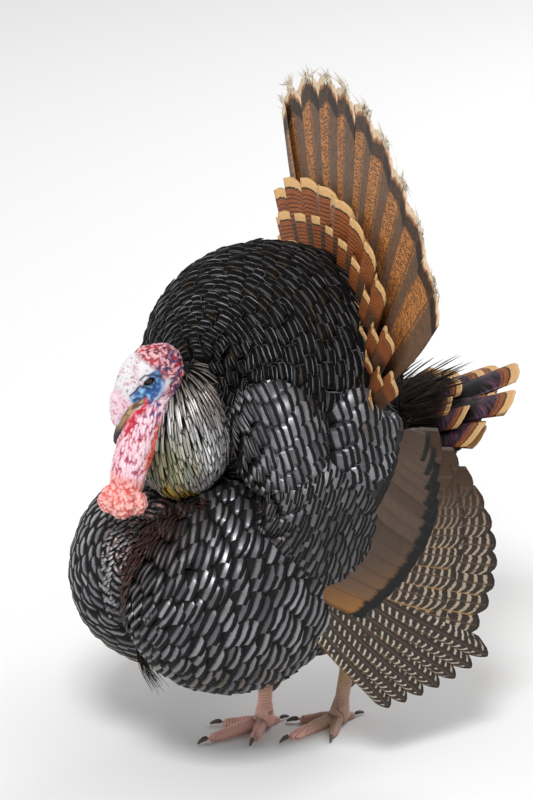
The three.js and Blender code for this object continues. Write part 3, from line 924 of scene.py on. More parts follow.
def beak_paint(name):
    """Horn, darker towards the tip."""
    paint = Paint(name, Roughness=0.4)
    grain = paint.noise(paint.place(), 260.0, 3.0)
    reach = (paint.distance(on_head(*BILL_TIP)) + (grain - 0.5) * 0.01).step(0.014, 0.032)
    colour = paint.mix(shade(42, 38, 38), shade(150, 124, 90), reach)
    paint.set(Base_Color=paint.scaled(colour, 0.8 + grain * 0.4))
    paint.bump(grain, 0.3, 0.0003)
    return paint.material


def eye_paint(name):
    """A wet dark brown eye with a black pupil."""
    paint = Paint(name, Roughness=0.12, Specular_IOR_Level=0.4)
    reach = paint.distance(on_head(EYE_ALONG, EYE_ABOVE, EYE_OUT + EYE_RADIUS))
    paint.set(Base_Color=paint.mix(shade(6, 5, 5), shade(44, 26, 18), reach.step(0.0022, 0.003)))
    return paint.material


def rectrix_paint(name):
    """A tail quill: grey-brown and mottled chestnut vanes, a black band and a frayed buff tip."""
    paint = Paint(name, Roughness=0.6, Specular_IOR_Level=0.35)
    across, along, chance, out, fine, ragged = barbed(paint, 90.0)
    back = (1.0 - along) * RECTRIX_LENGTH + (ragged - 0.5) * 10.0 - out * 5.0
    where = paint.vector(across * 2.6, along * 9.0, chance * 30.0)
    stir = paint.noise(where, 2.2, 3.0) * 26.0
    ripple = (back * 1.3 + stir - out * 6.0).wave()
    broken = paint.noise(paint.vector(across * 9.0, along * 60.0, chance * 11.0), 1.6, 3.0)
    ripple = ripple.step(0.36, 0.56) * broken.step(0.38, 0.56)
    mottled = paint.mix(shade(184, 120, 62), shade(40, 29, 24), ripple)
    plain = paint.mix(shade(104, 84, 68), shade(66, 52, 42), paint.noise(where, 5.0, 3.0))
    frayed = across + (ragged - 0.5) * 0.06
    colour = paint.layered(
        mottled,
        (plain, frayed.step(0.48, 0.6).most(frayed.step(0.2, 0.08)) * 0.85),
        (shade(26, 21, 19), back.step(38.0, 32.0) * (0.75 + ragged * 0.25)),
        (shade(150, 98, 56), back.step(14.0, 11.0)),
        (shade(214, 190, 158), back.step(9.0, 5.0)),
        (shade(86, 62, 42), out.step(0.045, 0.02) * 0.8),
    )
    paint.set(Base_Color=paint.scaled(colour, 0.75 + fine * 0.5))
    paint.bump(fine, 0.5, 0.0005)
    return paint.material


def tail_covert_paint(name, length_mm, iridescent=0.0):
    """A tail covert: chestnut with fine dark bars, a thin black line and a buff tip."""
    paint = Paint(name, Specular_IOR_Level=0.4)
    across, along, chance, out, fine, ragged = barbed(paint, 70.0)
    back = (1.0 - along) * length_mm + (ragged - 0.5) * 5.0 - out * 2.5
    bars = ((back - 14.0) * 1.26).wave().step(0.62, 0.9)
    chestnut = paint.mix(shade(168, 96, 44), shade(120, 60, 28), paint.noise(paint.place(), 60.0))
    deep = paint.mix(shade(92, 62, 40), shade(30, 24, 20), bars)
    sheen = back.step(20.0, 26.0) * iridescent
    play = paint.noise(paint.vector(across * 3.0, along * 20.0, chance * 9.0), 1.5, 1.0)
    glint = paint.mix(shade(44, 56, 110), shade(156, 96, 100), play)
    glint = paint.mix(shade(14, 12, 12), glint, (fine * 2.0 - 0.7) * back.step(52.0, 40.0))
    colour = paint.layered(
        chestnut,
        (shade(30, 22, 18), bars * 0.85 * back.step(14.0, 18.0)),
        (deep, back.step(38.0, 60.0)),
        (glint, sheen),
        (shade(22, 17, 15), back.step(14.0, 12.5)),
        (paint.mix(shade(224, 182, 124), shade(164, 114, 66), fine * 0.6), back.step(11.5, 10.0)),
    )
    paint.set(
        Base_Color=paint.scaled(colour, 0.72 + fine * 0.56),
        Roughness=0.55 - sheen * 0.15 + fine * 0.05,
        Metallic=sheen * 0.5,
    )
    paint.bump(fine, 0.5, 0.0005)
    return paint.material


def barred_paint(name, length_mm, spacing, slant, light, share, inner=0.0, pale_edge=1.0, plain=False):
    """A wing quill: dark with pale bars that slant out from the shaft.

    share is how much of a bar's spacing is pale, inner keeps the bars off the shaft, pale_edge is
    the strength of the outer edge's, and plain lets the bars fade towards the top of the wing.
    """
    paint = Paint(name, Specular_IOR_Level=0.35)
    across, along, chance, out, fine, ragged = barbed(paint, 80.0)
    back = (1.0 - along) * length_mm + (ragged - 0.5) * 4.0
    patchy = paint.noise(paint.vector(across * 3.0, along * 12.0, chance * 20.0), 1.5)
    phase = (back + out * slant + patchy * spacing * 0.5) * (2.0 * math.pi / spacing)
    bars = phase.wave().step(0.9 - share * 0.4, 0.98 - share * 0.2) * patchy.step(0.3, 0.42)
    bars = bars * (1.0 - out.step(0.3, 0.16) * inner) * back.step(3.0, 8.0)
    blotch = paint.noise(paint.vector(across * 4.0, along * 30.0, chance), 2.0)
    dark = paint.mix(shade(24, 19, 16), shade(56, 43, 34), blotch)
    pale = paint.mix(light, shade(146, 130, 110), ragged)
    if plain:
        height = paint.height()
        fade = height.step(*PLAIN_HEIGHTS) * along.step(0.35, 0.75)
        bars = bars * (1.0 - fade)
        dark = paint.mix(dark, shade(64, 42, 25), fade * 0.92)
        pale_edge = pale_edge * (1.0 - height.step(0.15, 0.35) * 0.7)
    colour = paint.layered(
        dark,
        (pale, bars * 0.95),
        (shade(176, 134, 80), across.step(0.86, 0.94) * pale_edge),
        (shade(74, 58, 46), out.step(0.08, 0.03) * 0.9),
    )
    paint.set(Base_Color=paint.scaled(colour, 0.8 + fine * 0.4), Roughness=0.45 + fine * 0.12)
    paint.bump(fine, 0.4, 0.0004)
    return paint.material


def bronze_paint(name, pale, deep, edge_at, low=None):
    """A wing covert: bronze-brown with a barbed black edge; low is its colour near the ground."""
    paint = Paint(name, Specular_IOR_Level=0.4)
    across, along, chance, out, fine, ragged = barbed(paint, 70.0)
    bend = along + (ragged - 0.5) * 0.07 + out.power(3.0) * 0.035
    colour = paint.mix(deep, pale, fine * 0.5 + chance * 0.5)
    if low:
        height = paint.height() + (chance - 0.5) * 0.03
        colour = paint.mix(paint.mix(low, pale, fine * 0.4), colour, height.step(0.17, 0.29))
    edge = bend.step(*edge_at)
    colour = paint.layered(
        colour,
        (shade(44, 36, 32), across.step(0.12, 0.0) * 0.8),
        (BLACK, edge),
        (shade(52, 38, 30), out.step(0.05, 0.02) * 0.35),
    )
    roughness = 0.42 + edge * 0.3 + fine * 0.08
    paint.set(Base_Color=colour, Metallic=(1.0 - edge) * 0.3, Roughness=roughness)
    paint.bump(fine, 0.4, 0.0004)
    return paint.material


# ------------------------------------------------------------------ tints of the body feathers
PEARL = np.array(shade(214, 212, 212))
SILVER = np.array(shade(150, 150, 154))
STEEL = np.array(shade(98, 98, 104))
BRONZE = np.array(shade(116, 100, 82))
COPPER = np.array(shade(120, 66, 50))
GOLD = np.array(shade(150, 140, 84))
YELLOW = np.array(shade(206, 168, 44))
BUFF = np.array(shade(176, 140, 96))
CREAM = np.array(shade(232, 220, 200))
GREEN = np.array(shade(96, 104, 74))
BLUE = np.array(shade(84, 98, 122))
UMBER = np.array(shade(56, 46, 40))


def dapple(rng, count, main, other, spread=1.0, glints=(), share=0.1):
    """Tints between two colours, a few of them glints of others."""
    mix = np.clip(rng.normal(0.4, 0.3 * spread, count), 0, 1)[:, None]
    colours = blend(main, other, mix) * rng.uniform(0.6, 1.3, (count, 1))
    for glint in glints:
        chosen = rng.random(count) < share
        colours[chosen] = glint * rng.uniform(0.7, 1.2, (chosen.sum(), 1))
    return colours


def ramp(low, high, values):
    """A smooth step as a column that colours can be blended by."""
    return smooth(low, high, values)[:, None]


def closeness(places, centre, far, near):
    """A column that grows from 0 to 1 as places come from far to near a centre."""
    return ramp(far, near, np.linalg.norm(places - centre, axis=1))


def varied(rng, colour, low, high, count):
    """One colour for each of many feathers, darker or lighter by chance."""
    return colour * rng.uniform(low, high, (count, 1))


def breast_tint(places, rng):
    """Steel and silver bands, coppery under the throat, greener low in front, and lighter silver high
    on the bird's right side as a painted highlight.
    """
    count = len(places)
    across, height = places[:, 0], places[:, 2]
    colours = dapple(rng, count, STEEL, SILVER)
    greener = dapple(rng, count, STEEL, BRONZE, 1.0, (GREEN,), 0.12)
    colours = blend(colours, greener, ramp(0.24, 0.14, height) * 0.8)
    coppery = closeness(places, spot(10, -240, 326), 0.07, 0.02)
    colours = blend(colours, varied(rng, COPPER, 0.3, 0.9, count), coppery * 0.7)
    # painted highlight: lighter silver high on the bird's right side
    bright = ramp(-0.01, -0.05, across) * ramp(0.2, 0.27, height)
    return blend(colours, varied(rng, SILVER, 0.8, 1.3, count), bright * 0.8)


def crease_tint(places, rng):
    """Dark copper hairs, greener further down, with silver on the bird's right side as a painted
    highlight.
    """
    count = len(places)
    across, height = places[:, 0], places[:, 2]
    colours = dapple(rng, count, UMBER, STEEL)
    colours = blend(colours, varied(rng, COPPER, 0.3, 0.9, count), ramp(0.24, 0.31, height) * 0.6)
    # painted highlight: silver on the bird's right side
    colours = blend(colours, varied(rng, SILVER, 0.6, 1.1, count), ramp(0.0, -0.01, across) * 0.8)
    return blend(colours, varied(rng, GREEN, 0.6, 1.3, count), ramp(0.22, 0.17, height) * 0.6)


def mantle_tint(places, rng):
    """Thin rims of silver, some of them bronze, and more of them golden towards the tail."""
    colours = dapple(rng, len(places), STEEL, SILVER * 1.25, 1.0, (BRONZE,), 0.12)
    late = ramp(0.0, 0.09, places[:, 1]) * rng.uniform(0, 0.8, (len(places), 1))
    return blend(colours, BUFF, late)


def ruff_tint(places, rng):
    """Silvery, with olive and yellow towards the throat, and darker at the top."""
    count = len(places)
    colours = dapple(rng, count, PEARL, SILVER, 0.8)
    colours = colours * blend(1.3, np.array([0.5, 0.44, 0.4]), ramp(0.47, 0.51, places[:, 2]))
    olive = dapple(rng, count, GREEN * 1.3, GOLD)
    colours = blend(colours, olive, closeness(places, spot(18, -214, 440), 0.055, 0.02) * 0.85)
    yellow = closeness(places, spot(22, -214, 388), 0.036, 0.02)
    return blend(colours, varied(rng, YELLOW, 0.7, 1.4, count), yellow * 0.9)


def shoulder_tint(places, rng):
    """Steel and silver with faint bronze and blue glints."""
    glints = ((BLUE + STEEL) / 2, (BRONZE + STEEL) / 2)
    return dapple(rng, len(places), STEEL, SILVER, 1.0, glints, 0.012)


def forewing_tint(places, rng):
    """Dark steel, brighter towards the top."""
    colours = dapple(rng, len(places), STEEL * 0.7, (BRONZE + STEEL * 2) * 0.27)
    bright = ramp(0.34, 0.42, places[:, 2])
    return blend(colours, varied(rng, SILVER, 0.6, 1.3, len(places)), bright * 0.6)


def belly_tint(places, rng):
    """Dull umber and bronze."""
    return dapple(rng, len(places), UMBER, UMBER * 1.4)


# ------------------------------------------------------------------ the body's outline and its tracts
BODY_VOXEL = 0.006
HEAD_VOXEL = 0.0012
LEG_VOXEL = 0.0013
HEAD_SWELL = 0.0006
LEG_SWELL = 0.0016
COAT_DEPTH = 0.009  # how deep the skin lies under the outline of the coat
COAT_SHOWS = 0.004  # skin deeper than this under the outline is covered
WET_HEIGHT = 0.3

SCALE = Shape(0.06, 4.5, 0.4, 0.6, 0.22, taper=0.03, curl=0.1)
CRESCENT = Shape(0.13, 2.4, 0.4, 0.6, 0.26, taper=0.04, curl=0.14)
NARROW = Shape(0.12, 2.0, 0.6, 0.4, 0.4, taper=0.25, curl=0.05)
SLEEK = Shape(0.10, 2.2, 0.6, 0.4, 0.3, taper=0.3, curl=0.1)
HAIRY = Shape(0.5, 1.3, 0.6, 0.4, 0.3, taper=0.6)

BREAST_TRACT = Tract(
    BREAST, (-0.55, -0.72, 0.43), 4, 165, (3.8, 13.0), (6.6, 49), 2.8,
    growth=0.42, stand=5.5, ragged=0.06,
)
CREASE_TRACT = Tract(BREAST, (-0.42, -0.30, 0.85), 6, 66, (6, 9), (2.4, 4.5), 3.4, stand=4.5)
FINE_TRACT = Tract(BREAST, (-0.42, -0.30, 0.85), 6, 66, (4, 6), (4, 7), 3.2, stand=3.5)
IN_ORDER = {"growth": 0.45, "stand": 5.5, "jitter": 0.03}
SHOULDER_TRACT = Tract(
    SHOULDER, (-0.45, -0.89, -0.04), 5, 150, (3.6, 12), (9, 34), 3.0, ragged=0.02, **IN_ORDER
)
SCAPULAR_TRACT = Tract(
    SCAPULARS, (-0.45, -0.87, -0.10), 3, 160, (4.5, 12.5), (6, 34), 3.0, ragged=0.025, **IN_ORDER
)
FOREWING_TRACT = Tract(
    FOREWING, (-0.34, -0.88, 0.33), 5, 160, (4.2, 8.0), (15, 34), 3.0,
    growth=0.6, stand=3.5, ragged=0.05,
)
MANTLE_TRACT = Tract(
    MANTLE, (0.22, -0.97, 0.11), 6, 165, (5.0, 14), (10, 50), 3.2,
    growth=0.85, stand=6.0, jitter=0.2, ragged=0.1,
)
RUMP_TRACT = Tract(RUMP, (0.1, -0.5, 0.86), 10, 170, (9, 13), (18, 30), 3.0)
AT_REAR = {"stand": 4.0, "behind": True, "jitter": 0.3}
REAR_TRACT = Tract(MANTLE, (0.1, -0.3, 0.95), 20, 175, (9, 12), (17, 26), 3.2, **AT_REAR)
REAR_RUMP_TRACT = Tract(RUMP, (0.1, -0.3, 0.95), 20, 172, (9, 12), (16, 24), 3.2, **AT_REAR)
RUFF_TRACT = Tract(
    RUFF, (-0.20, -0.55, 0.81), 14, 165, (11, 17), (2.4, 6), 3.2, growth=0.5, stand=4.0, depth=6
)
TRUNK_TRACT = Tract(TRUNK, (0, -0.88, -0.47), 14, 172, (12, 14), (22, 30), 3.2)
THIGH_TRACTS = [Tract(THIGHS[side], (0, 0, 1), 3, 150, (5, 9), (9, 15), 3.2) for side in SIDES]
VENT_TRACT = Tract(
    VENT, (0, -0.97, 0.26), 10, 170, (7, 12), (4, 6), 5.0, stand=6.0, behind=True, jitter=0.4
)
DOWN_COUNT = 5200
DOWN_LENGTHS = (0.016, 0.028)
DOWN_HALF_WIDTH = 0.0032
DOWN_WAY = np.array([0.0, 0.75, -0.65])


class Bird:
    """What the steps share: the outline that feathers follow."""

    envelope = None


# where each piece's draws start; a piece of several tracts takes the next number for each of them
SEEDS = {
    "tail": 31, "undertail": 47, "wing_left": 61, "wing_right": 62, "beard": 71, "breast": 101,
    "crease": 105, "back": 201, "rump": 211, "rear": 221, "ruff": 301, "shoulder_left": 401,
    "shoulder_right": 411, "belly": 501, "down": 601,
}


def body_outline():
    """The outline of the body's coat as one even closed surface."""
    bm = bmesh.new()
    twins = [mass.mirrored() for mass in PAIRED]
    for mass in (*PAIRED, *twins, MANTLE, TRUNK, RUMP, RUFF, VENT, *THIGHS.values()):
        mass.ball(bm)
    return remeshed(from_bmesh("outline", bm), BODY_VOXEL, 5)


def lay_down(coat):
    """Short dark down all over the outline, seen only where the rows of feathers part."""
    rng = np.random.default_rng(SEEDS["down"])
    chosen = rng.choice(len(Bird.envelope.middles), DOWN_COUNT, replace=False)
    places, ups = Bird.envelope.middles[chosen], Bird.envelope.normals[chosen]
    ways = DOWN_WAY + rng.normal(0, 0.25, (DOWN_COUNT, 3))
    ways = unit(ways - ups * dot(ways, ups))
    lengths = rng.uniform(*DOWN_LENGTHS, DOWN_COUNT)
    steps = np.linspace(0, 1, 4)
    lines = places[:, None] + ways[:, None] * (lengths[:, None] * steps)[..., None]
    height = blend(-0.0085, rng.uniform(-0.004, 0.001, DOWN_COUNT)[:, None], steps[None, :])
    lines = lines + ups[:, None] * height[..., None]
    behind = dot(places - FAN_BASE, FanHalf(1, COVERT_YAW).front)[:, 0] < 0
    lines[~behind] = in_front_of_fan(lines[~behind], 1.0)
    halves = np.full((DOWN_COUNT, 2), DOWN_HALF_WIDTH)
    lifts = np.broadcast_to(ups[:, None], lines.shape)
    tints = UMBER * rng.uniform(0.5, 1.5, (DOWN_COUNT, 1))
    coat.lay(lines, lifts, steps, halves, HAIRY, tints, rng.random(DOWN_COUNT), unwrap(places))


def body_coat(name, tracts, shape, paint, seed, keep=None):
    """Lays tracts of one kind as one piece."""
    coat = Coat(Vane(6, 4, crowd=1.35))
    for step, (tract, tint) in enumerate(tracts):
        cover(coat, Bird.envelope, tract, shape, tint, seed + step, keep)
    coat.build(name, paint)


# ------------------------------------------------------------------ skin
def field(points, scale, seed=0.0):
    """Soft noise between -1 and 1 at each point; scale in cells per metre."""
    return np.array([noise.noise(p) for p in (points * scale + seed).tolist()])


def grains(points, scale):
    """Rounded grains between 0 at their borders and 1 at their middles."""
    nearest = np.array([noise.voronoi(p)[0][0] for p in (points * scale).tolist()])
    return np.clip(1 - (nearest / GRAIN_REACH) ** 2, 0, 1)


GRAIN_REACH = 0.72  # how far a grain reaches from its middle, in cells
NECK_BACK = unit(np.array([0.0, 0.951, 0.309]))
NECK_TOP = spot(0, -212, 500)
NECK_FOOT = spot(0, -256, 372)
NECK_LENGTH = np.linalg.norm(NECK_FOOT - NECK_TOP)
NECK_WAY = unit(NECK_FOOT - NECK_TOP)
NECK_DRIFT = (0.005, 0.088)  # its middle lies before that line: at the top, and more by its foot
BARE_HEIGHT = 0.33  # the bare skin of the head and the neck lies above this
FACE_HEIGHT = 0.42
CROWN_HEIGHT = 0.44
LEG_TOP = 0.2
NO_EYE = 9.0  # what the eye's mask holds away from the face
CREASES = ("brow", "lid", "lore", "gape")
# lines on the side of the face: half their width, then places along and above in the head's millimetres
FACE_LINES = {
    "face": (10, (-9, -4), (6, -6), (21, -1)),
    "brow": (1.3, (3, 12), (-5, 10), (-10, 4), (-13, -2)),
    "lid": (1.1, (-9, 0), (-4, -6), (2, -7.5), (5, -4), (8, 7)),
    "lore": (1.1, (8, 7), (13, 8), (18, 8), (26, 8)),
    "gape": (1.2, (27, 2), (20, -4), (15, -6)),
    "cheek": (2.8, (-12, -7), (-6, -12), (1, -14), (11, -13), (20, -15)),
    "edge": (2.2, (-10, -11), (-5, -16), (5, -19), (13, -19)),
    "wattle": (3.8, (19, -9), (22, -13), (31, -14), (39, -11), (50, -12), (62, -14)),
    "horn": (3.4, (24, -7), (30, -5), (41, -3.5), (54, -5.5)),
}


def capsule(along, above, start, end, radius):
    """A soft share round the line between two places of the head's side."""
    place = np.stack([along, above], axis=1)
    start, end = np.array(start, dtype=float), np.array(end, dtype=float)
    way = end - start
    share = np.clip((place - start) @ way / (way @ way), 0, 1)
    return bell(np.linalg.norm(place - start - share[:, None] * way, axis=1), 0, radius)


def bare_masks(points):
    """Named shares of the bare parts for points of the skin."""
    along, above, side = in_head(points)
    height = points[:, 2]
    head = smooth(-62, -44, along) * (height > CROWN_HEIGHT)
    beside = (np.abs(side) > 7) * (height > FACE_HEIGHT)
    away = points - NECK_TOP
    down = np.clip(away @ NECK_WAY / NECK_LENGTH, -0.3, 1.3)
    stir = np.stack([field(points, 120.0, seed) for seed in (11.0, 23.0, 37.0)], axis=1)
    warped = points + stir * 0.0022
    drawn = warped - (warped @ NECK_WAY)[:, None] * NECK_WAY * 0.72
    wave = field(points, 160.0, 3.0) * 1.2
    sway = field(points, 130.0, 29.0) * 1.4
    below = above + 20 - 5.5 * smooth(18, 27, along) - 5 * smooth(38, 50, along) + wave
    from_eye = (along - EYE_ALONG, above - EYE_ABOVE)
    eye = np.hypot(
        (EYE_WAY[0] * from_eye[0] + EYE_WAY[1] * from_eye[1]) / EYE_LONG,
        (EYE_WAY[0] * from_eye[1] - EYE_WAY[1] * from_eye[0]) / EYE_SHORT,
    )
    masks = {
        "place": points,
        "along": along,
        "above": above,
        "down": down,
        "eye": np.where(beside, eye, NO_EYE),
        "crown": smooth(3, 12, above) * smooth(-36, -24, along) * head,
        "nape": np.maximum(smooth(-15, -22, along + wave * 2), smooth(1, -2, below)) * head,
        "snood": smooth(28, 36, along) * smooth(-3, 1, above) * head,
        "neck": smooth(0.0, 0.14, down) * smooth(0, -3, below),
        "foot": smooth(0.82, 0.94, down),
        "behind": away @ NECK_BACK + NECK_DRIFT[0] + NECK_DRIFT[1] * down,
        "lump": grains(warped * np.array([1, 1, 0.85]), 250.0),
        "fine": grains(warped, 420.0),
        "ridge": grains(drawn, 330.0),
        "rough": field(points, 90.0),
        "spots": field(points, 330.0, 7.0),
    }
    for name, (width, *places) in FACE_LINES.items():
        spans = [capsule(along + wave, above + sway, *ends, width) for ends in zip(places, places[1:])]
        masks[name] = np.maximum.reduce(spans) * beside
    return masks


def sculpt(masks):
    """Where bare skin is raised or sunk, in millimetres along its normals."""
    points = masks["place"]
    lump, fine, ridge = (masks[key] for key in ("lump", "fine", "ridge"))
    eye, neck, foot = (masks[key] for key in ("eye", "neck", "foot"))
    fold = np.abs(field(points * np.array([1, 1, 0.45]), 150.0))
    rise = neck * (1 - foot) * (ridge * 1.5 + fine * 0.4 + smooth(0.0, 0.25, fold) - 1.4)
    rise += neck * foot * (lump * 1.2 + smooth(0.0, 0.3, fold) * 2.0 - 1.4)
    rise += (lump * 1.5 + fine * 0.7 - 0.4) * masks["nape"] * (1 - neck)
    rise += 1.4 * bell(eye, 1.35, 0.2) - 4.5 * (1 - smooth(0.8, 1.12, eye))
    rise += 0.9 * masks["edge"] + masks["cheek"] * smooth(0.0, 0.3, fold)
    for line in CREASES:
        rise -= 1.1 * masks[line] * smooth(1.2, 1.6, eye)
    rise += 2.2 * masks["wattle"] * (0.6 + 0.4 * ridge) - 0.8 * masks["horn"]
    rise += masks["crown"] * fine * 0.4
    rise += masks["snood"] * (field(points, 260.0) + fine * 0.4)
    return rise * (points[:, 2] > BARE_HEIGHT)


def face_layers(masks):
    """Blue round the eye, a white crown with dark specks and a pale pink snood."""
    rough, spots, snood = (masks[key] for key in ("rough", "spots", "snood"))
    face = smooth(0.2, 0.5, masks["face"])
    mottle = field(masks["place"], 190.0, 5.0)
    crown = masks["crown"] * smooth(-24, -14, masks["along"])
    return [
        ((206, 160, 170), smooth(0.1, 0.5, rough) * 0.35),
        ((62, 130, 182), face * 0.95),
        ((20, 74, 138), face * smooth(-0.02, 0.22, mottle)),
        ((136, 192, 218), face * smooth(-0.12, -0.3, mottle) * 0.9),
        ((14, 54, 132), smooth(0.15, 0.6, masks["cheek"]) * (0.65 + smooth(-0.1, 0.2, spots))),
        ((158, 182, 218), masks["edge"] * 0.9),
        ((218, 214, 218), crown * 0.95 * (1 - face * 0.6)),
        ((198, 150, 160), crown * smooth(0.25, 0.5, masks["fine"]) * smooth(-0.1, 0.3, rough) * 0.7),
        ((92, 76, 84), crown * smooth(0.32, 0.46, spots) * 0.65),
        ((224, 198, 208), snood * 0.9),
        ((190, 80, 116), snood * smooth(0.15, 0.42, spots) * 0.7),
    ]


def nape_layers(masks):
    """Pink grains in crimson on the back of the head, blue low down, the ear, and dark navy as painted
    shade in the creases round the eye and the bill.
    """
    lump, nape, along, above = (masks[key] for key in ("lump", "nape", "along", "above"))
    shown = masks["eye"] < NO_EYE
    red = smooth(0.0, 0.3, field(masks["place"], 140.0, 19.0)) * smooth(0.7, 0.4, lump)
    blue = smooth(-0.05, 0.2, field(masks["place"], 150.0, 3.0)) * smooth(12, -4, above)
    # painted shade: dark navy in the sunk creases of the brow, the lids, the lore and the gape
    creases = [((16, 32, 70), masks[line] * 1.15) for line in CREASES]
    return [
        # pale pink on the grain tops over crimson between them: partly the skin's own colour, partly
        # painted highlight and painted shade
        ((96, 10, 36), nape),
        ((226, 170, 176), nape * smooth(0.38, 0.66, lump * 0.65 + masks["fine"] * 0.45) * 0.95),
        ((178, 34, 48), nape * red * 0.8),
        ((44, 44, 92), nape * blue * 0.85),
        *creases,
        ((14, 12, 18), bell(np.hypot(along + 15, above + 5), 0, 3.0) * shown),
        ((214, 140, 116), bell(np.hypot(along + 16, above + 10), 0, 2.4) * shown),
    ]


def neck_layers(masks):
    """Wrinkled pink over purple, red in front and in beads behind, and coral caruncles at the foot. The
    pale tops of the wrinkles, beads and caruncles over darker skin between them are partly the skin's
    own colour and partly painted highlight and painted shade.
    """
    lump, ridge, neck, down = (masks[key] for key in ("lump", "ridge", "neck", "down"))
    high = smooth(0.5, 0.2, down) * smooth(-0.3, 0.05, masks["rough"]) * smooth(0.55, 0.15, ridge)
    front = smooth(-0.006, -0.012, masks["behind"]) * smooth(0.72, 0.5, down) * smooth(0.8, 0.3, ridge)
    foot = masks["foot"] * neck
    bead = smooth(0.22, 0.4, down) * smooth(0.86, 0.7, down) * smooth(0.006, 0.011, masks["behind"])
    return [
        ((150, 28, 62), neck),
        # pale pink and whitish on the ridge tops over crimson between them: partly the skin's own
        # colour, partly painted highlight and painted shade
        ((226, 168, 184), neck * smooth(0.06, 0.28, ridge * 0.7 + masks["fine"] * 0.2) * 0.97),
        ((234, 212, 220), neck * smooth(0.35, 0.65, ridge) * 0.85),
        ((70, 56, 118), neck * high * 0.95),
        ((186, 26, 54), neck * front * 0.85),
        ((216, 104, 98), foot),
        # pale on the caruncles' lumps over coral between them: partly their own colour, partly painted
        # highlight and painted shade
        ((240, 188, 180), foot * smooth(0.16, 0.55, lump) * 0.9),
        ((184, 34, 44), foot * smooth(0.24, 0.42, masks["spots"]) * 0.45),
        ((206, 52, 40), bead * 0.8),
        # paler on the beads' lumps: partly their own colour, partly painted highlight
        ((228, 132, 92), bead * smooth(0.3, 0.7, lump) * 0.9),
    ]


def mouth_layers(masks):
    """The crimson wattle under the bill, the bill's horn root, the dark rim of the eye and painted
    shade: near black in the eye's opening, where the skin sinks behind the lids.
    """
    wattle, horn, eye = (masks[key] for key in ("wattle", "horn", "eye"))
    streaks = field(drawn_out(masks["place"]), 300.0, 9.0)
    return [
        ((184, 24, 48), smooth(0.3, 0.8, wattle)),
        ((228, 140, 158), wattle * smooth(0.35, 0.7, masks["ridge"]) * 0.85),
        ((98, 72, 44), smooth(0.2, 0.55, horn)),
        ((186, 156, 112), horn * smooth(0.0, 0.2, streaks)),
        ((34, 44, 78), bell(eye, 1.25, 0.2) * 0.85),
        # painted shade: near black inside the eye's opening, where the skin sinks behind the lids
        ((20, 14, 18), 1 - smooth(0.98, 1.14, eye)),
    ]


def leg_layers(masks):
    """Pink legs, yellower higher up, and duller towards the rear as painted shade on the rear foot."""
    points = masks["place"]
    legs = (points[:, 2] < LEG_TOP) * 1.0
    return [
        ((236, 182, 168), legs),
        # painted shade: the rear foot duller and greyer
        ((176, 142, 118), legs * smooth(-0.02, 0.01, points[:, 1]) * 0.8),
        ((176, 146, 92), legs * smooth(0.03, 0.08, points[:, 2]) * 0.85),
        ((126, 104, 96), legs * smooth(0.0, 0.5, field(points, 40.0)) * 0.4),
    ]


def bare_tints(masks):
    """The colours of the bare parts, in layers of a screen colour and its share at each point, and near
    black where the skin lies under the coat, as painted shade.
    """
    colours = np.tile(np.array(shade(206, 200, 206)), (len(masks["place"]), 1))
    parts = (face_layers, nape_layers, neck_layers, mouth_layers, leg_layers)
    layers = [layer for part in parts for layer in part(masks)]
    # painted shade: the skin under the coat is near black, so that it reads as shade where the feathers
    # part
    for colour, share in (*layers, ((22, 18, 16), masks["coat"])):
        colours = blend(colours, np.array(shade(*colour)), np.clip(share, 0, 1)[:, None])
    return colours


def drawn_out(points):
    """Points pressed together along the bill, so that noise on them runs in streaks."""
    return points - (points @ HEAD_ALONG)[:, None] * HEAD_ALONG * 0.85


def joined_by_union(main, others):
    """Unites closed skins into the first."""
    for other in others:
        union = main.modifiers.new("union", "BOOLEAN")
        union.operation = "UNION"
        union.solver = "MANIFOLD"
        union.object = other
        evaluated(main)
        bpy.data.objects.remove(other)


TOES = ("middle", "inner", "outer", "hallux")
HEAD_PARTS = ["head", "neck", "snood", "caruncles"]
FOOT_PARTS = [
    f"{part}_{side}" for side in SIDES for part in ("shank", *(f"toe_{toe}" for toe in TOES))
]
CLAWS = [f"claw_{toe}_{side}" for toe in TOES for side in SIDES]
SPURS = [f"spur_{side}" for side in SIDES]


def scute_way(points):
    """Millimetres out along the toes and up the shanks, for the bands of horny scutes."""
    feet = [box_centre(f"shank_{side}")[:2] for side in SIDES]
    out = np.min([np.hypot(*(points[:, :2] + SHIFT[:2] - foot).T) for foot in feet], axis=0)
    climb = smooth(0.022, 0.034, points[:, 2])
    return blend(out, points[:, 2], climb) / MM


def dress(mesh, material):
    """Smooth shading and one material."""
    mesh.polygons.foreach_set("use_smooth", np.ones(len(mesh.polygons), dtype=bool))
    mesh.materials.clear()
    mesh.materials.append(material)


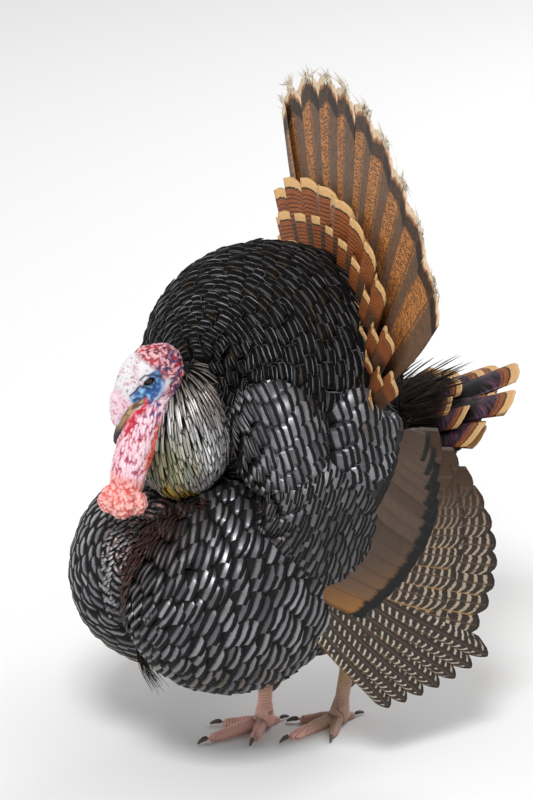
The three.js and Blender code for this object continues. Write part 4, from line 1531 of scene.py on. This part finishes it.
def build_skin():
    """One skin for the whole bird, bare on the head, neck and legs."""
    skin = body_outline()
    Bird.envelope = Envelope(skin.data)
    points = coordinates(skin.data)
    move_corners(skin.data, points - normals(skin.data) * COAT_DEPTH)
    head = remeshed(from_bmesh("head", solid_copy(HEAD_PARTS, HEAD_SWELL)), HEAD_VOXEL, 10)
    legs = remeshed(from_bmesh("legs", solid_copy(FOOT_PARTS, LEG_SWELL, CLAWS)), LEG_VOXEL, 3)
    joined_by_union(skin, (head, legs))
    skin.name = "skin"
    mesh = skin.data
    mesh.name = "skin"
    points = coordinates(mesh) - SHIFT
    height = points[:, 2]
    masks = bare_masks(points)
    places, ups = Bird.envelope.nearest(points)
    masks["coat"] = (dot(points - places, ups)[:, 0] < -COAT_SHOWS) * 1.0
    rise = sculpt(masks) * (1 - masks["coat"])
    move_corners(mesh, on_floor(points + SHIFT + normals(mesh) * rise[:, None] * MM))
    wet = smooth(0.0, 0.3, masks["down"]) * (height > WET_HEIGHT) - masks["coat"] * 3.0
    set_attribute(mesh, "tint", bare_tints(masks), "FLOAT_COLOR")
    set_attribute(mesh, "wet", wet)
    set_attribute(mesh, "scaly", (height < LEG_TOP) * 1.0)
    set_attribute(mesh, "scute", scute_way(points))
    dress(mesh, skin_paint("bare_skin"))
    finish_piece(skin, FLESH + HEAD_PARTS + FOOT_PARTS)


def softened(name, nodes, material, voxel, smoothing):
    """A smooth copy of hard parts, such as the beak or the claws."""
    thing = remeshed(from_bmesh(name, solid_copy(nodes, voxel)), voxel, smoothing)
    move_corners(thing.data, on_floor(coordinates(thing.data)))
    dress(thing.data, material)
    finish_piece(thing, nodes)


# ------------------------------------------------------------------ quills
QUILL_STATIONS = np.linspace(0, 1, 9)
FRAYED = {"crowd": 1.3, "fray": 0.006}


def lay_quills(coat, lines, up, halves, shape, hand, tints, rng):
    """Adds large feathers, each with its own cell of the OFBake map."""
    count = len(lines)
    columns, rows = coat.cells
    index = coat.count() + np.arange(count)
    patches = np.stack([(index % columns + 0.5) / columns, (index // columns + 0.5) / rows], axis=1)
    sizes = np.stack([np.broadcast_to(half, count) for half in halves], axis=1) * MM
    ups = np.broadcast_to(up, lines.shape)
    coat.lay(lines, ups, QUILL_STATIONS, sizes, shape, tints, rng.random(count), patches, hand)


def lay_tilted(coat, lines, up, tilt, halves, shape, hand, rng):
    """Adds large feathers that are tilted about their shafts, each a little lighter or darker."""
    sideways = unit(np.cross(np.gradient(lines, axis=1), np.broadcast_to(up, lines.shape)))
    ups = unit(up - sideways * (tilt * hand)[:, None, None])
    tints = np.ones((len(lines), 3)) * rng.uniform(0.85, 1.1, (len(lines), 1))
    lay_quills(coat, lines, ups, halves, shape, hand, tints, rng)


def lay_strands(coat, lines, up, halves, shape, tints, rng, hand=1):
    """Adds thin strands, which lie anywhere on the OFBake map."""
    count = len(lines)
    ups = np.broadcast_to(up, lines.shape)
    chances = rng.random(count)
    patches = rng.random((count, 2))
    coat.lay(lines, ups, QUILL_STATIONS, halves, shape, tints, chances, patches, hand)


def fan_feathers(coat, hand, plan, yaw, shape, rng):
    """One half of a row of the fan."""
    half = FanHalf(hand, yaw)
    count = plan["count"]
    angles = (np.arange(count) + plan.get("first", 0.5)) * FAN_HALF_SPAN / plan["places"]
    angles = angles + rng.normal(0, 0.008, count)
    reaches = plan["reach"] * (1 + rng.normal(0, 0.006, count)) * np.array(plan.get("profile", 1.0))
    ahead = plan["ahead"] - np.arange(count) * plan["step"]
    stations = blend(plan["root"], reaches[:, None], QUILL_STATIONS[None, :])
    lift = plan.get("lift", 0.0) * QUILL_STATIONS**2
    lines = half.at(angles[:, None], stations, ahead[:, None] + lift[None, :])
    if yaw != FAN_YAW:
        lines = before_quills(lines, hand, plan["ahead"] + COVERT_MARGIN)
    tilt = rng.normal(0, plan["loose"], count)
    halves = [np.array(plan.get("narrow", 1.0)) * plan[vane] for vane in ("inner", "outer")]
    lay_tilted(coat, lines, half.front, tilt, halves, shape, hand, rng)


FAN_QUILLS = 9  # in each half
RECTRICES = {
    "count": FAN_QUILLS, "places": FAN_QUILLS, "root": 60, "reach": 448, "ahead": 3.5, "step": 0.75,
    "inner": 52, "outer": 36, "loose": 0.02,
}
COVERT_COMMON = {
    "count": 9, "places": 8, "root": 60, "step": 0.5, "loose": 0.1,
    "profile": (1.0, 0.97, 0.955, 0.96, 0.97, 0.99, 0.98, 0.95, 0.9),
    "narrow": (1.0, 1.0, 1.0, 1.0, 0.95, 0.85, 0.7, 0.6, 0.55),
}
COVERT_TIERS = (
    {"reach": 334, "ahead": 12.0, "inner": 27, "outer": 27, "lift": 3},
    {"first": 0.1, "reach": 292, "ahead": 15.0, "inner": 26, "outer": 26, "lift": 5},
    {"reach": 252, "ahead": 18.0, "inner": 25, "outer": 25, "lift": 6},
    {"first": 0.1, "reach": 214, "ahead": 21.0, "inner": 24, "outer": 24, "lift": 6},
)
COVERT_MARGIN = 5.0  # how much further than its own place a covert stays before the quills
TAIL_SHAPE = Shape(0.055, 1.7, 0.2, 0.85, 0.04, ridge=0.8)
COVERT_SHAPE = Shape(0.06, 3.4, 0.3, 0.7, 0.04, ridge=0.6, curl=-0.12, fold=0.4)
TUFT_STRANDS = 26
TUFT_AHEAD = 4.0


def lay_tufts(coat, rng):
    """Frayed pale barbs at the tip of each quill of the fan."""
    for hand in HANDS.values():
        half = FanHalf(hand, FAN_YAW)
        quill = np.repeat(np.arange(FAN_QUILLS), TUFT_STRANDS)
        count = len(quill)
        angles = (quill + 0.5) * FAN_HALF_SPAN / FAN_QUILLS + rng.normal(0, 0.02, count)
        fan_out = rng.normal(0, 0.03, count)
        length = rng.uniform(9, 21, count)
        start = RECTRICES["reach"] - rng.uniform(4, 12, count)
        t = QUILL_STATIONS[None, :]
        reach = start[:, None] + length[:, None] * t
        ahead = TUFT_AHEAD - quill * RECTRICES["step"]
        curl = rng.uniform(-2, 9, count)
        turned = angles[:, None] + fan_out[:, None] * t**2
        lines = half.at(turned, reach, ahead[:, None] + curl[:, None] * t**2)
        halves = np.full((count, 2), 1.7 * MM) * rng.uniform(0.7, 1.3, (count, 1))
        tints = varied(rng, CREAM, 0.7, 1.1, count)
        lay_strands(coat, lines, half.front, halves, HAIRY, tints, rng, hand)


def build_tail():
    """Eighteen quills of the fan and the tiers of coverts before them."""
    rng = np.random.default_rng(SEEDS["tail"])
    coat = Coat(Vane(36, 24, crowd=1.2, fray=0.012), (18, 1), (0.05, 0.96))
    for hand in HANDS.values():
        fan_feathers(coat, hand, RECTRICES, FAN_YAW, TAIL_SHAPE, rng)
    paint = rectrix_paint("tail_quill_vanes")
    coat.build("tail_fan", paint, ("tail_left", "tail_right"))
    coat = Coat(Vane(5, 2))
    lay_tufts(coat, rng)
    paint = scale_paint("tuft_barbs", ALWAYS, NEVER, gloss=0.0, sides=NEVER)
    coat.build("tail_tufts", paint)
    coat = Coat(Vane(20, 10, **FRAYED), (18, 4), (0.05, 0.22))
    for tier in COVERT_TIERS:
        for hand in HANDS.values():
            fan_feathers(coat, hand, {**COVERT_COMMON, **tier}, COVERT_YAW, COVERT_SHAPE, rng)
    paint = tail_covert_paint("tail_covert_vanes", 250.0)
    coat.build("tail_coverts", paint, ("tail_coverts_left", "tail_coverts_right"))


UNDERTAIL_ROOT = 40
UNDERTAIL_TIERS = (
    {"count": 6, "spread": 46, "reach": 216, "sides": 0.62, "high": -4.0, "half": 30, "droop": 26},
    {"count": 7, "spread": 52, "reach": 240, "sides": 0.62, "high": 0.0, "half": 30, "droop": 12},
    {"count": 6, "spread": 44, "reach": 205, "sides": 0.62, "high": 3.5, "half": 28, "droop": 2},
    {"count": 5, "spread": 36, "reach": 168, "sides": 0.66, "high": 7.0, "half": 26, "droop": -6},
)
UNDERTAIL_RISE = 22
UNDER_SHAPE = Shape(0.06, 2.8, 0.3, 0.7, 0.2, ridge=0.8, curl=0.06)
PLUME_COUNT = 420
PLUME_SPREAD = 62


def build_undertail():
    """The coverts below the fan, and the loose plumes over them."""
    rng = np.random.default_rng(SEEDS["undertail"])
    axes = turn(UNDERTAIL_RISE, 0, FAN_YAW, "ZXY")
    out, back, high = axes[:, 0], axes[:, 1], axes[:, 2]

    def spread_out(angle, reach, height):
        way = np.sin(angle)[:, None] * out + np.cos(angle)[:, None] * back
        return FAN_BASE + (way[:, None, :] * reach[..., None] + high * height[..., None]) * MM

    coat = Coat(Vane(20, 10, **FRAYED), (6, 4), (0.15, 0.3))
    for tier in UNDERTAIL_TIERS:
        share = np.linspace(1, -1, tier["count"])
        angle = np.radians(tier["spread"] * share) + rng.normal(0, 0.02, len(share))
        reach = tier["reach"] * blend(1, tier["sides"], share**2)
        stations = blend(UNDERTAIL_ROOT, reach[:, None], QUILL_STATIONS[None, :])
        rise = tier["high"] + 1.2 * (1 - share**2)
        sag = (tier["droop"] + rng.normal(0, 5, len(share)))[:, None] * QUILL_STATIONS**2
        lines = spread_out(angle, stations, rise[:, None] - sag)
        halves = (tier["half"], tier["half"])
        lay_quills(coat, lines, high, halves, UNDER_SHAPE, 1, np.ones((len(share), 3)), rng)
    paint = tail_covert_paint("undertail_vanes", 190.0, iridescent=1.0)
    plumes = Coat(Vane(5, 2))
    angle = np.radians(rng.uniform(-PLUME_SPREAD, PLUME_SPREAD, PLUME_COUNT))
    length = rng.uniform(55, 105, PLUME_COUNT) * np.cos(angle * 0.8)
    start = rng.uniform(30, 90, PLUME_COUNT)
    reach = start[:, None] + length[:, None] * QUILL_STATIONS
    arch = rng.uniform(14, 34, PLUME_COUNT)[:, None] * (QUILL_STATIONS - 0.7 * QUILL_STATIONS**2)
    lines = spread_out(angle, reach, 10 + arch)
    lines = lines + rng.normal(0, 3, (PLUME_COUNT, 1, 3)) * MM
    halves = np.full((PLUME_COUNT, 2), 1.6 * MM)
    tints = varied(rng, UMBER, 0.4, 1.2, PLUME_COUNT)
    lay_strands(plumes, lines, high, halves, HAIRY, tints, rng)
    hairs = scale_paint("plume_hairs", ALWAYS, NEVER, gloss=0.0, sides=NEVER)
    plumes.build("undertail_plumes", hairs)
    coat.build("undertail_coverts", paint, ("undertail",))


QUILL_SHAPE = Shape(0.085, 1.8, 0.35, 0.35, 0.12, taper=0.34, ridge=1.8)
BROAD_SHAPE = Shape(0.05, 2.6, 0.3, 0.6, 0.12, ridge=0.8, curl=0.02)
SECONDARY_SHAPE = Shape(0.1, 2.0, 0.3, 0.6, 0.14, ridge=0.8, curl=0.02)
WING_ARCH = 6.0  # four times how far the middle of a wing feather stands off the wing's plane
PRIMARY_PIVOT = (-136, 133)
PRIMARY_COUNT = 7
WHITISH = shade(206, 200, 190)
FAWN = shade(180, 164, 142)


def fanned_out(count):
    """Where the primaries start and end in the wing's plane, all pointing away from one pivot."""
    share = np.linspace(0, 1, count)
    angle = np.radians(blend(-36, -53.5, share))
    way = np.stack([np.cos(angle), np.sin(angle)], axis=1)
    return PRIMARY_PIVOT + way * 150, PRIMARY_PIVOT + way * blend(440, 372, share)[:, None]


def on_curves(count, roots, tips, root_end=1.0, tip_end=1.0, start=0.0, ease=1.0):
    """Where the feathers of a row start and end in the wing's plane, along parts of two curves."""
    root_shares = np.linspace(start, root_end, count) ** ease
    return bezier(roots, root_shares), bezier(tips, np.linspace(start, tip_end, count))


@dataclass
class WingRow:
    """A row of wing feathers.

    places holds where they start and end, out is how far the row lies off the wing's plane and rise
    how much further its first feather does, halves are the half widths of the inner and the outer
    vane, and sag is the bend of a feather as a share of its length.
    """

    places: tuple
    out: float
    rise: float
    halves: tuple
    sag: float


PRIMARIES = WingRow(fanned_out(PRIMARY_COUNT), -3.0, 7.0, (26, 13), 0.03)
UPPER_PLACES = on_curves(
    10, ([88, 166], [70, 60], [-10, 22]), ([160, 146], [280, 20], [210, -86])
)
LOWER_PLACES = on_curves(
    8, ([80, 160], [60, 60], [-10, 26]), ([158, 140], [226, 40], [150, -66]), 0.9, 0.9, 0.02
)
SECONDARIES = (
    WingRow(UPPER_PLACES, 3.0, 5.0, (26, 17), 0.04),
    WingRow(LOWER_PLACES, 6.0, 4.5, (25, 18), 0.04),
)
GREAT_PLACES = on_curves(
    13, ([80, 180], [10, 110], [-50, 50]), ([136, 144], [176, 22], [62, -26]), ease=1.6
)
GREAT_COVERTS = WingRow(GREAT_PLACES, 9.0, 6.0, (27, 22), 0.07)
VELVET_CURVES = (
    (([66, 186], [-4, 120], [-64, 64]), ([102, 160], [78, 78], [-8, 26])),
    (([56, 186], [-14, 126], [-70, 74]), ([86, 168], [54, 94], [-24, 38])),
)
VELVET_COVERTS = [
    WingRow(on_curves(11, *curves, 0.86, 0.9), 12.5 + 2.5 * level, 4.0, (22, 20), 0.05)
    for level, curves in enumerate(VELVET_CURVES)
]


def wing_row(coat, hand, row, shape, rng):
    """Adds a row of wing feathers, the first ones on top."""
    roots, tips = row.places
    span = tips - roots
    way = unit(span)
    aside = np.stack([way[:, 1], -way[:, 0]], axis=1)
    middle = (roots + tips) / 2 + aside * row.sag * np.linalg.norm(span, axis=1)[:, None]
    flat = bezier([ends[:, None] for ends in (roots, middle, tips)], QUILL_STATIONS)
    layer = np.linspace(row.rise, 0, len(span))[:, None]
    arch = WING_ARCH * QUILL_STATIONS[None, :] * (1 - QUILL_STATIONS[None, :])
    lines = on_wing(flat[..., 0], flat[..., 1], row.out + layer + arch, hand)
    tilt = rng.normal(0.03, 0.02, len(span))
    lay_tilted(coat, lines, WING_OUT * MIRROR[hand], tilt, row.halves, shape, hand, rng)


def build_wing(side, hand):
    """The quills and coverts of one wing."""
    rng = np.random.default_rng(SEEDS[f"wing_{side}"])
    coat = Coat(Vane(26, 8, crowd=1.1, fray=0.004), (9, 1), (0.1, 0.96))
    wing_row(coat, hand, PRIMARIES, QUILL_SHAPE, rng)
    name = f"primaries_{side}"
    paint = barred_paint(
        f"primary_vanes_{side}", 260.0, 10.5, 9.0, WHITISH, 0.5, inner=1.0, pale_edge=0.3
    )
    coat.build(name, paint, (name,))

    coat = Coat(Vane(24, 8, crowd=1.1, fray=0.006), (10, 2), (0.09, 0.46))
    for row in SECONDARIES:
        wing_row(coat, hand, row, SECONDARY_SHAPE, rng)
    name = f"secondaries_{side}"
    paint = barred_paint(f"secondary_vanes_{side}", 190.0, 12.5, 4.0, FAWN, 0.65, plain=True)
    coat.build(name, paint, (name,))

    coat = Coat(Vane(18, 8, crowd=1.2, fray=0.008), (13, 1), (0.07, 0.96))
    wing_row(coat, hand, GREAT_COVERTS, BROAD_SHAPE, rng)
    name = f"wing_coverts_{side}"
    bronze = (shade(94, 75, 62), shade(55, 43, 35))
    paint = bronze_paint(f"covert_vanes_{side}", *bronze, (0.86, 0.92), low=shade(168, 112, 42))
    coat.build(name, paint, (name,))

    coat = Coat(Vane(12, 8, crowd=1.2, fray=0.006), (11, 3), (0.08, 0.3))
    for row in VELVET_COVERTS:
        wing_row(coat, hand, row, BROAD_SHAPE, rng)
    velvet = (shade(52, 46, 44), shade(20, 18, 18))
    paint = bronze_paint(f"velvet_vanes_{side}", *velvet, (0.8, 0.86))
    coat.build(f"velvet_coverts_{side}", paint)


BEARD_PATH = ((-226, 190), (-238, 168), (-232, 142), (-214, 116))
BEARD_SHAPE = Shape(0.0, 1.0, 0.7, 0.2, 0.8, taper=0.6)
BEARD_COUNT = 70


def build_beard():
    """A bunch of coarse dark bristles."""
    rng = np.random.default_rng(SEEDS["beard"])
    share = np.linspace(0, 1, len(BEARD_PATH))
    path = np.array([[0, y, z] for y, z in BEARD_PATH], dtype=float)
    steps = np.stack([np.interp(QUILL_STATIONS, share, path[:, axis]) for axis in range(3)], axis=1)
    start = rng.normal(0, 1, (BEARD_COUNT, 1, 3)) * np.array([5, 3, 3])
    end = rng.normal(0, 1, (BEARD_COUNT, 1, 3)) * np.array([7, 4, 9])
    lines = (steps[None] + blend(start, end, QUILL_STATIONS[None, :, None])) * MM
    halves = np.full((BEARD_COUNT, 2), 0.9 * MM)
    tints = np.tile(UMBER * 0.4, (BEARD_COUNT, 1))
    coat = Coat(Vane(8, 2))
    lay_strands(coat, lines, np.array([0, -1.0, 0.3]), halves, BEARD_SHAPE, tints, rng)
    horn = scale_paint("beard_strands", (0.0, 0.1), NEVER)
    coat.build("beard_bristles", horn, ("beard",))


# ------------------------------------------------------------------ stage
CAMERA_AT = (3.6789, -2.9228, 2.1373)
CAMERA_TARGET = (-0.0236, -0.0302, 0.4272)
CAMERA_LENS = 187.5
SKY_LIGHT = 0.5
LAMP_TARGET = (0, 0, 0.4)
# each lamp's name, place, side and watts
LAMPS = (
    ("key", (2.6, -2.6, 4.4), 1.3, 210),
    ("fill", (-2.8, -3.4, 2.2), 3.0, 45),
    ("back", (-1.0, 3.4, 3.0), 2.0, 90),
)


def aimed(name, data, place, target):
    """A lamp or camera that points at a place."""
    thing = new_object(name, data)
    thing.location = place
    thing.rotation_euler = (Vector(target) - Vector(place)).to_track_quat("-Z", "Y").to_euler()
    return thing


def add_lamp(name, place, side, watts):
    """A soft square lamp."""
    lamp = bpy.data.lights.new(name, "AREA")
    lamp.size = side
    lamp.energy = watts
    aimed(name, lamp, place, LAMP_TARGET)


def build_stage(settings):
    """The floor, the lamps, the world and the camera."""
    bm = bmesh.new()
    bmesh.ops.create_grid(bm, x_segments=1, y_segments=1, size=settings.floor_size / 2)
    floor = from_bmesh("floor", bm)
    paint = Paint("floor_pale", Roughness=0.9, Specular_IOR_Level=0.1)
    paint.shader.inputs["Base Color"].default_value = (*settings.floor_colour, 1.0)
    floor.data.materials.append(paint.material)
    for lamp in LAMPS:
        add_lamp(*lamp)
    world = bpy.data.worlds.new("studio")
    world.use_nodes = True
    tree = world.node_tree
    background = tree.nodes["Background"]
    seen = tree.nodes.new("ShaderNodeLightPath")
    colour = tree.nodes.new("ShaderNodeMix")
    colour.data_type = "RGBA"
    share, unseen, backdrop = (colour.inputs[number] for number in MIX_SOCKETS)
    tree.links.new(seen.outputs["Is Camera Ray"], share)
    unseen.default_value = (SKY_LIGHT, SKY_LIGHT, SKY_LIGHT, 1.0)
    backdrop.default_value = (*settings.backdrop_colour, 1.0)
    tree.links.new(colour.outputs[MIX_RESULT], background.inputs[0])
    bpy.context.scene.world = world
    bpy.context.scene.view_settings.view_transform = "Standard"
    lens = bpy.data.cameras.new("view")
    lens.lens = CAMERA_LENS
    ends = (np.array(CAMERA_AT) + SHIFT, np.array(CAMERA_TARGET) + SHIFT)
    bpy.context.scene.camera = aimed("view", lens, *ends)


# ------------------------------------------------------------------ settings, steps and panel
class TurkeySettings(bpy.types.PropertyGroup):
    """What a user may change."""

    floor_size: bpy.props.FloatProperty(
        name="Floor size", description="Side of the floor", default=14.0, unit="LENGTH"
    )
    floor_colour: bpy.props.FloatVectorProperty(
        name="Floor",
        description="Colour of the floor",
        size=3,
        subtype="COLOR",
        default=(0.82,) * 3,
    )
    backdrop_colour: bpy.props.FloatVectorProperty(
        name="Backdrop",
        description="Colour behind the bird",
        size=3,
        subtype="COLOR",
        default=(0.9,) * 3,
    )


class Step(bpy.types.Operator):
    """One step of the build."""

    bl_options = {"REGISTER", "UNDO"}


class TURKEY_OT_skin(Step):
    """Makes the skin of the whole bird"""

    bl_idname = "turkey.skin"
    bl_label = "Skin"

    def execute(self, context):
        build_skin()
        return {"FINISHED"}


class TURKEY_OT_hard_parts(Step):
    """Makes the beak, the claws, the spurs and the eyes' finish"""

    bl_idname = "turkey.hard_parts"
    bl_label = "Beak, claws and eyes"

    def execute(self, context):
        paint = beak_paint("horn_of_bill")
        softened("bill", ["beak_upper", "beak_lower"], paint, 0.0008, 4)
        softened("claws", CLAWS + SPURS, claw_paint("claw_dark"), 0.0006, 2)
        eye = eye_paint("eye_dark")
        for side in SIDES:
            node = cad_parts[f"eye_{side}"]
            for place in node.material_slots:
                place.material = eye
        return {"FINISHED"}


class TURKEY_OT_breast(Step):
    """Lays the breast's feathers"""

    bl_idname = "turkey.breast"
    bl_label = "Breast"

    def execute(self, context):
        paint = scale_paint("breast_vanes", (0.67, 0.79), (0.85, 0.88), gloss=0.7, sides=(0.95, 1.05))
        hairy = scale_paint("breast_hairs", (0.2, 0.5), (0.97, 1.0), gloss=0.4, sides=(0.5, 0.9))
        coats = {"left": BREAST_TRACT, "right": BREAST_TRACT.mirrored()}
        creases = {"left": CREASE_TRACT, "right": FINE_TRACT.mirrored()}
        for side, hand in HANDS.items():

            def mine(places, hand=hand):
                return places[:, 0] * hand > -0.006

            def inner(places, hand=hand):
                out, back, height = places[:, 0] * hand, places[:, 1], places[:, 2]
                return (out > -0.004) & (out < 0.004 + 0.22 * (height - 0.2)) & (back < -0.18)

            plan = [(coats[side], breast_tint)]
            body_coat(f"breast_{side}", plan, CRESCENT, paint, SEEDS["breast"], mine)
            plan = [(creases[side], crease_tint)]
            body_coat(f"crease_{side}", plan, NARROW, hairy, SEEDS["crease"], inner)
        return {"FINISHED"}


class TURKEY_OT_back(Step):
    """Lays the feathers of the raised back and the rump"""

    bl_idname = "turkey.back"
    bl_label = "Back"

    def execute(self, context):
        dark = shade(10, 9, 10)
        paint = scale_paint("back_vanes", (0.7, 0.86), (0.74, 0.82), 0.35, dark, RIM, spec=0.1)
        groups = (
            ("back", [(MANTLE_TRACT, mantle_tint)], before_fan),
            ("rear", [(REAR_TRACT, belly_tint), (REAR_RUMP_TRACT, belly_tint)], behind_fan),
            ("rump", [(RUMP_TRACT, mantle_tint), (VENT_TRACT, belly_tint)], None),
        )
        for name, tracts, keep in groups:
            body_coat(f"{name}_coat", tracts, SCALE, paint, SEEDS[name], keep)
        return {"FINISHED"}


class TURKEY_OT_ruff(Step):
    """Lays the narrow feathers round the neck"""

    bl_idname = "turkey.ruff"
    bl_label = "Neck ruff"

    def execute(self, context):
        paint = scale_paint("ruff_vanes", (0.3, 0.5), (0.96, 1.0), gloss=0.5, sides=(0.55, 0.85))
        tracts = [(RUFF_TRACT, ruff_tint)]
        body_coat("neck_ruff_coat", tracts, SLEEK, paint, SEEDS["ruff"])
        return {"FINISHED"}


class TURKEY_OT_shoulders(Step):
    """Lays the feathers of the shoulders, the scapulars and the fore part of the wings"""

    bl_idname = "turkey.shoulders"
    bl_label = "Shoulders"

    def execute(self, context):
        sides = (0.99, 1.2)
        paint = scale_paint("shoulder_vanes", (0.65, 0.72), (0.84, 0.87), 0.65, rim=RIM, sides=sides)
        tints = (shoulder_tint, shoulder_tint, forewing_tint)
        tracts = {"left": (SHOULDER_TRACT, SCAPULAR_TRACT, FOREWING_TRACT)}
        tracts["right"] = [tract.mirrored() for tract in tracts["left"]]
        for side in SIDES:
            pairs = zip(tracts[side], tints)
            seed = SEEDS[f"shoulder_{side}"]
            body_coat(f"shoulder_coat_{side}", pairs, SCALE, paint, seed)
        return {"FINISHED"}


class TURKEY_OT_belly(Step):
    """Lays the feathers of the belly, the flanks and the thighs"""

    bl_idname = "turkey.belly"
    bl_label = "Belly and thighs"

    def execute(self, context):
        paint = scale_paint("belly_vanes", (0.6, 0.75), (0.9, 0.94), gloss=0.3)
        tracts = [(tract, belly_tint) for tract in (TRUNK_TRACT, *THIGH_TRACTS)]
        body_coat("belly_coat", tracts, SCALE, paint, SEEDS["belly"])
        return {"FINISHED"}


class TURKEY_OT_down(Step):
    """Lays the down that shows between the tracts"""

    bl_idname = "turkey.down"
    bl_label = "Down"

    def execute(self, context):
        coat = Coat(Vane(4, 2))
        lay_down(coat)
        paint = scale_paint("down_hairs", (0.0, 0.2), NEVER, gloss=0.0)
        coat.build("down", paint)
        return {"FINISHED"}


class TURKEY_OT_wings(Step):
    """Makes the quills and coverts of both wings"""

    bl_idname = "turkey.wings"
    bl_label = "Wings"

    def execute(self, context):
        for side, hand in HANDS.items():
            build_wing(side, hand)
        return {"FINISHED"}


class TURKEY_OT_tail(Step):
    """Makes the tail fan and its coverts"""

    bl_idname = "turkey.tail"
    bl_label = "Tail"

    def execute(self, context):
        build_tail()
        build_undertail()
        return {"FINISHED"}


class TURKEY_OT_beard(Step):
    """Makes the beard's bristles"""

    bl_idname = "turkey.beard"
    bl_label = "Beard"

    def execute(self, context):
        build_beard()
        return {"FINISHED"}


class TURKEY_OT_stage(Step):
    """Sets the floor, the lamps, the world and the camera"""

    bl_idname = "turkey.stage"
    bl_label = "Stage"

    def execute(self, context):
        build_stage(context.scene.turkey)
        return {"FINISHED"}


STEPS = (
    TURKEY_OT_skin,
    TURKEY_OT_hard_parts,
    TURKEY_OT_breast,
    TURKEY_OT_back,
    TURKEY_OT_ruff,
    TURKEY_OT_shoulders,
    TURKEY_OT_belly,
    TURKEY_OT_down,
    TURKEY_OT_wings,
    TURKEY_OT_tail,
    TURKEY_OT_beard,
    TURKEY_OT_stage,
)


class TURKEY_PT_steps(bpy.types.Panel):
    """The steps of the bird in the sidebar"""

    bl_label = "Turkey"
    bl_idname = "TURKEY_PT_steps"
    bl_space_type = "VIEW_3D"
    bl_region_type = "UI"
    bl_category = "Turkey"

    def draw(self, context):
        for step in STEPS:
            self.layout.operator(step.bl_idname)
        for setting in ("floor_size", "floor_colour", "backdrop_colour"):
            self.layout.prop(context.scene.turkey, setting)


def register():
    """Makes the steps, the settings and the panel known."""
    for kind in (TurkeySettings, *STEPS, TURKEY_PT_steps):
        bpy.utils.register_class(kind)
    bpy.types.Scene.turkey = bpy.props.PointerProperty(type=TurkeySettings)


def unregister():
    """Removes them again."""
    del bpy.types.Scene.turkey
    for kind in reversed((TurkeySettings, *STEPS, TURKEY_PT_steps)):
        bpy.utils.unregister_class(kind)


def main():
    """Runs every step."""
    register()
    for step in STEPS:
        group, name = step.bl_idname.split(".")
        getattr(getattr(bpy.ops, group), name)()
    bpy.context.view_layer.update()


if __name__ == "__main__":
    main()
